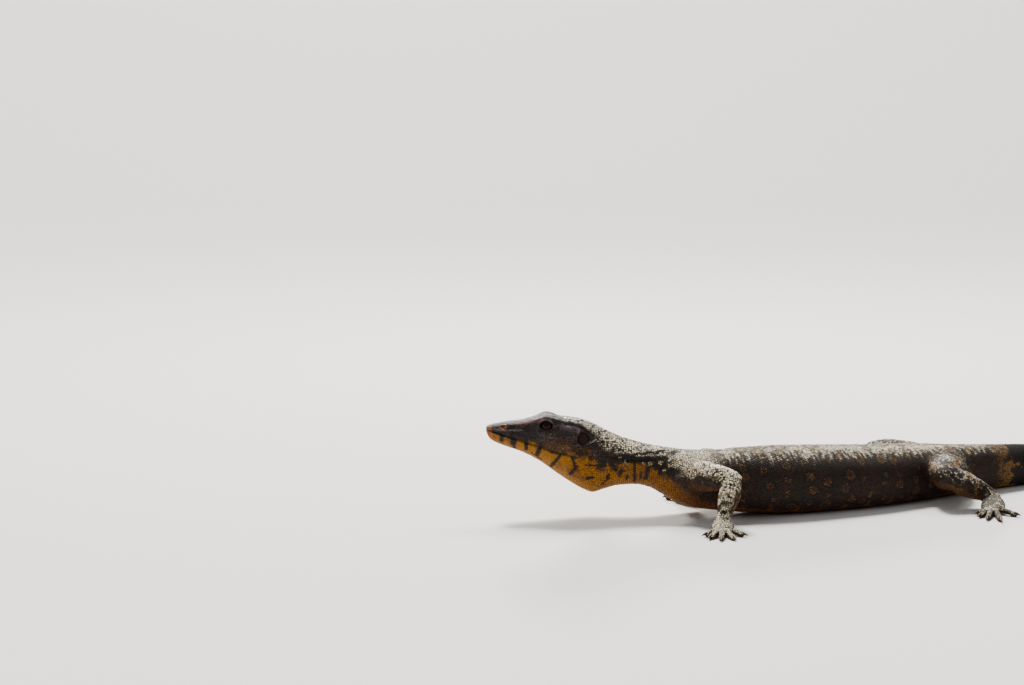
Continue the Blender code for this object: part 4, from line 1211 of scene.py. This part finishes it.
def thinned(points, gap, chosen):
    """Of points taken in turn, those no nearer than gap to one already taken."""
    grid, kept_ones = {}, []
    for k in chosen:
        x, y, z = points[k]
        size = gap[k]
        cell = int(x // THIN_CELL), int(y // THIN_CELL), int(z // THIN_CELL)
        around = (other for dx in (-1, 0, 1) for dy in (-1, 0, 1) for dz in (-1, 0, 1)
                  for other in grid.get((cell[0] + dx, cell[1] + dy, cell[2] + dz), ()))
        if all((x - q[0]) ** 2 + (y - q[1]) ** 2 + (z - q[2]) ** 2 > size * size for q in around):
            grid.setdefault(cell, []).append((x, y, z))
            kept_ones.append(k)
    return np.array(kept_ones, int)


chosen = thinned(spots.tolist(), (wide * THINNED_TO).tolist(), np.flatnonzero(kept))
roots, ways, long, wide, normals = (v[chosen] for v in (spots, ways, long, wide, normals))
tree = tree_of(roots.tolist())
bare = np.flatnonzero((seam > 0.01) | (skin_where["reach"] > 0.01))
bare = bare[skin_where["along"][bare] > LIMBS_FROM]
index, gap = nearest(tree, skin_points[bare].tolist())
empty = gap > wide[index] * FILLER_ROOM
bare, index = bare[empty], index[empty]
filler_gaps = np.full(len(skin_points), FILLER_GAP).tolist()
filler = thinned(skin_points.tolist(), filler_gaps, bare)
source = dict(zip(bare.tolist(), index.tolist()))
matched = np.array([source[k] for k in filler.tolist()], int)
roots = np.concatenate([roots, skin_points[filler]])
normals = np.concatenate([normals, skin_normals[filler]])
ways = np.concatenate([ways, ways[matched]])
long, wide = np.concatenate([long, long[matched]]), np.concatenate([wide, wide[matched]])

# Scales are left out of the mouth line and round the eyes, nostrils and ears, and under the floor.
scale_where = where(roots)
in_mouth = (scale_where["along"] < MOUTH_CORNER_AT - 1) & (np.abs(scale_where["lift"]) < 2.4)
clear = ~in_mouth & (roots[:, 2] > COAT * 0.5) & (off_openings(roots, 7) >= 1)
roots, ways, long, wide, normals = (v[clear] for v in (roots, ways, long, wide, normals))
scale_where = {name: values[clear] for name, values in scale_where.items()}
scale_shares = markings(roots, normals, scale_where)
ways = ways - np.sum(ways * normals, 1)[:, None] * normals
ways /= np.linalg.norm(ways, axis=1)[:, None] + 1e-9
sideways = np.cross(normals, ways)
scale_rng = np.random.default_rng(5)
scale_shares["tone"] = scale_rng.random(len(roots))
along, lift, limb_of, reach_of = (scale_where[k] for k in ("along", "lift", "limb", "reach"))
high = smooth_line(SCALE_HIGH, along)
on_limb = scale_where["limb_away"] < scale_where["body_away"]
high[on_limb] = np.where(reach_of[on_limb] > PALM, HAND_SCALE_HIGH, LIMB_SCALE_HIGH)
under = (lift < BELLY_LIFT) & (along > BELLY_FROM) & ~on_limb
on_back = (along > BEADS_END) & ~under & ~on_limb
turned = np.where(scale_where["side"] > 0, lift, 180 - lift)
unwrap = np.column_stack([along, turned])
unwrap[on_limb, 0] = reach_of[on_limb] * 60 + limb_of[on_limb] * 300
unwrap[on_limb, 1] = np.degrees(np.arctan2(normals[on_limb, 2], normals[on_limb, 0]))
scale_finish = hide_finish("Scales", False)


def coat(name, wanted, shape, fill=1.0):
    """One mesh of many closed scales, each in one colour, with its patch of the baking map."""
    chosen = np.flatnonzero(wanted)
    outline, faces = shape
    n, m = len(chosen), len(outline)
    grow = fill * scale_rng.uniform(0.92, 1.06, n)
    points = roots[chosen][:, None] + sum(
        direction[chosen][:, None] * shape_part[None, :, None] * size[:, None, None]
        for direction, shape_part, size in (
            (ways, outline[:, 0] * LENGTH_SHARE, long[chosen] * grow),
            (sideways, outline[:, 1] * WIDTH_SHARE, wide[chosen] * grow),
            (normals, outline[:, 2], high[chosen])))
    points[:, :, 2] = np.clip(points[:, :, 2], 0.01, highest - 0.02)
    listed = (faces[None] + np.arange(n)[:, None, None] * m).reshape(-1, 3)
    mesh = bpy.data.meshes.new(name)
    mesh.vertices.add(n * m)
    mesh.vertices.foreach_set("co", (points * MM).ravel())
    mesh.loops.add(listed.size)
    mesh.loops.foreach_set("vertex_index", listed.ravel())
    mesh.polygons.add(len(listed))
    mesh.polygons.foreach_set("loop_start", np.arange(0, listed.size, 3))
    mesh.update(calc_edges=True)
    mesh.shade_smooth()
    store(mesh, {k: np.repeat(v[chosen], m) for k, v in scale_shares.items()})
    spread = unwrap[chosen] - unwrap[chosen].min(axis=0)
    spread = 0.01 + 0.98 * spread / (np.ptp(spread, axis=0) + 1e-9)
    flat = (spread[:, None] + outline[None, :, :2] * PATCH).reshape(-1, 2)[listed.ravel()]
    mesh.uv_layers.new(name="OFBake").data.foreach_set("uv", flat.ravel())
    mesh.materials.append(scale_finish)
    obj = bpy.data.objects.new(name, mesh)
    bpy.context.scene.collection.objects.link(obj)
    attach(obj, "root")


coat("scales_head", ~on_limb & (along < HEAD_END), BEAD)
coat("scales_neck", ~on_limb & (along >= HEAD_END) & ~under & ~on_back, BEAD, 0.9)
for group, shape, parts in (
    (on_back, keeled(), (("shoulders", 165, 250), ("loins", 250, 345), ("rump", 345, 430),
                         ("tail", 430, 640), ("tail_end", 640, 996))),
    (under, PLATE, (("chest", 76, 260), ("belly", 260, 430), ("under_tail", 430, 996))),
):
    for part, start, end in parts:
        coat(f"scales_{part}", group & (along >= start) & (along < end), shape)
fore = limb_of < FIRST_LEG
for part, group in (("arms", fore & (reach_of < PALM)), ("legs", ~fore & (reach_of < PALM)),
                    ("hands", fore & (reach_of >= PALM)), ("feet", ~fore & (reach_of >= PALM))):
    coat(f"scales_{part}", on_limb & group, BEAD)

# Eyes. A wet round eyeball behind the lids, bulging a little at the front, with a dark red-brown
# iris and a round pupil that are painted by their depth along the way it looks.
EYE_SEGMENTS, EYE_ROOM, BULGE_FROM, BULGE = (64, 40), 0.05, 0.84, 0.3
PUPIL_FROM, PUPIL_EDGE, IRIS_FROM, IRIS_EDGE = 0.962, 30, 0.60, 7
IRIS_EDGE_COLOUR, IRIS_COLOUR = (0.012, 0.007, 0.006), (0.034, 0.010, 0.010)
PUPIL_COLOUR = (0.005, 0.003, 0.003)
for (middle, turn), side in zip(eye_places, ("left", "right")):
    bpy.ops.object.select_all(action="DESELECT")
    bpy.ops.mesh.primitive_uv_sphere_add(segments=EYE_SEGMENTS[0], ring_count=EYE_SEGMENTS[1],
                                         radius=EYE_RADIUS - EYE_ROOM)
    eye = bpy.context.object
    eye.name = f"eyeball_{side}"
    for vertex in eye.data.vertices:
        out = vertex.co.z / EYE_RADIUS
        if out > BULGE_FROM:
            vertex.co.z += BULGE * (out - BULGE_FROM) / (1 - BULGE_FROM)
    upright = Matrix(turn.tolist()).to_4x4() @ Matrix.Rotation(math.radians(-90), 4, "X")
    eye.data.transform(Matrix.Scale(MM, 4) @ Matrix.Translation(middle) @ upright)
    eye.data.shade_smooth()
    material, shader, place = finish_of(f"Eye {side}")
    facing = upright.to_3x3() @ Vector((0, 0, 1))
    apart = place.node("ShaderNodeVectorMath", {"operation": "SUBTRACT"},
                       i0=place, i1=Vector(middle) * MM)
    depth = place.node("ShaderNodeVectorMath", {"operation": "DOT_PRODUCT"}, "Value",
                       i0=apart, i1=facing) * (1 / (EYE_RADIUS * MM))
    veins = place.noise(1500.0, 4.0)
    pupil = place.math("MULTIPLY", depth - PUPIL_FROM, PUPIL_EDGE, clamp=True)
    ring = place.math("MULTIPLY", depth - IRIS_FROM, IRIS_EDGE, clamp=True)
    iris = place.colour(IRIS_EDGE_COLOUR).mix(ring * (veins + 0.3), IRIS_COLOUR)
    plug(shader, "Base Color", iris.mix(pupil, PUPIL_COLOUR))
    shader.inputs["Roughness"].default_value = 0.05
    shader.inputs["Specular IOR Level"].default_value = 0.16
    eye.data.materials.clear()
    eye.data.materials.append(material)
    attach(eye, "root")
    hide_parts(f"eye_{side}")

# Eardrums. A thin dark membrane at the bottom of each ear, dull and a little cloudy. It has the
# frame's own shape and stays where the frame has it.
material, shader, place = finish_of("Eardrum")
cloud = place.noise(500.0, 3.0)
drum_colour = place.colour((0.010, 0.006, 0.005)).mix(cloud, (0.030, 0.011, 0.007))
plug(shader, "Base Color", drum_colour)
plug(shader, "Roughness", 0.3 + cloud * 0.25)
for side in ("left", "right"):
    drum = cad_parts[f"eardrum_{side}"]
    drum.data.materials.clear()
    drum.data.materials.append(material)

# Claws. One curved hook of dark horn grows from each digit's tip, paler towards its point. All
# are one mesh, sunk a little into the digits.
CLAW_RADIUS, CLAW_SUNK, CLAW_LIFT = 1.35, 1.6, 0.9
CLAW_BEND, CLAW_DROP = math.radians(62), 0.4
CLAW_RINGS, CLAW_SIDES = 14, 12
claw_points, claw_faces, claw_share = [], [], []
for tip, way, length in claw_roots:
    share = np.linspace(0, 1, CLAW_RINGS)
    bend = CLAW_BEND * share
    reach = length / CLAW_BEND * np.sin(bend) - CLAW_SUNK
    drop = length / CLAW_BEND * (1 - np.cos(bend))
    path = tip + np.outer(reach, way) + np.outer(CLAW_LIFT - drop * CLAW_DROP, UP)
    radius = CLAW_RADIUS * (1 - 0.93 * share**1.15)
    points, faces = rings_closed(sleeve(path, radius * 0.75, radius, UP, CLAW_SIDES))
    claw_faces += [[len(claw_points) + corner for corner in face] for face in faces]
    claw_points += points
    claw_share += [*np.repeat(share, CLAW_SIDES), 0, 1]
claw_points = np.array(claw_points)
claw_points[:, 2] = np.maximum(claw_points[:, 2], 0.02)
claws = new_object("claws", claw_points, claw_faces)
claws.data.shade_smooth()
store(claws.data, {"tip": np.array(claw_share)})
material, shader, place = finish_of("Claw horn")
tip_share, streaks = place.attribute("tip"), place.noise(900.0, 3.0)
horn = place.colour((0.030, 0.022, 0.017)).mix(streaks * 0.4, (0.12, 0.09, 0.06))
plug(shader, "Base Color", horn.mix(tip_share * tip_share * 0.7, (0.36, 0.28, 0.19)))
plug(shader, "Roughness", 0.22 + streaks * 0.2)
claws.data.materials.append(material)
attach(claws, "root")
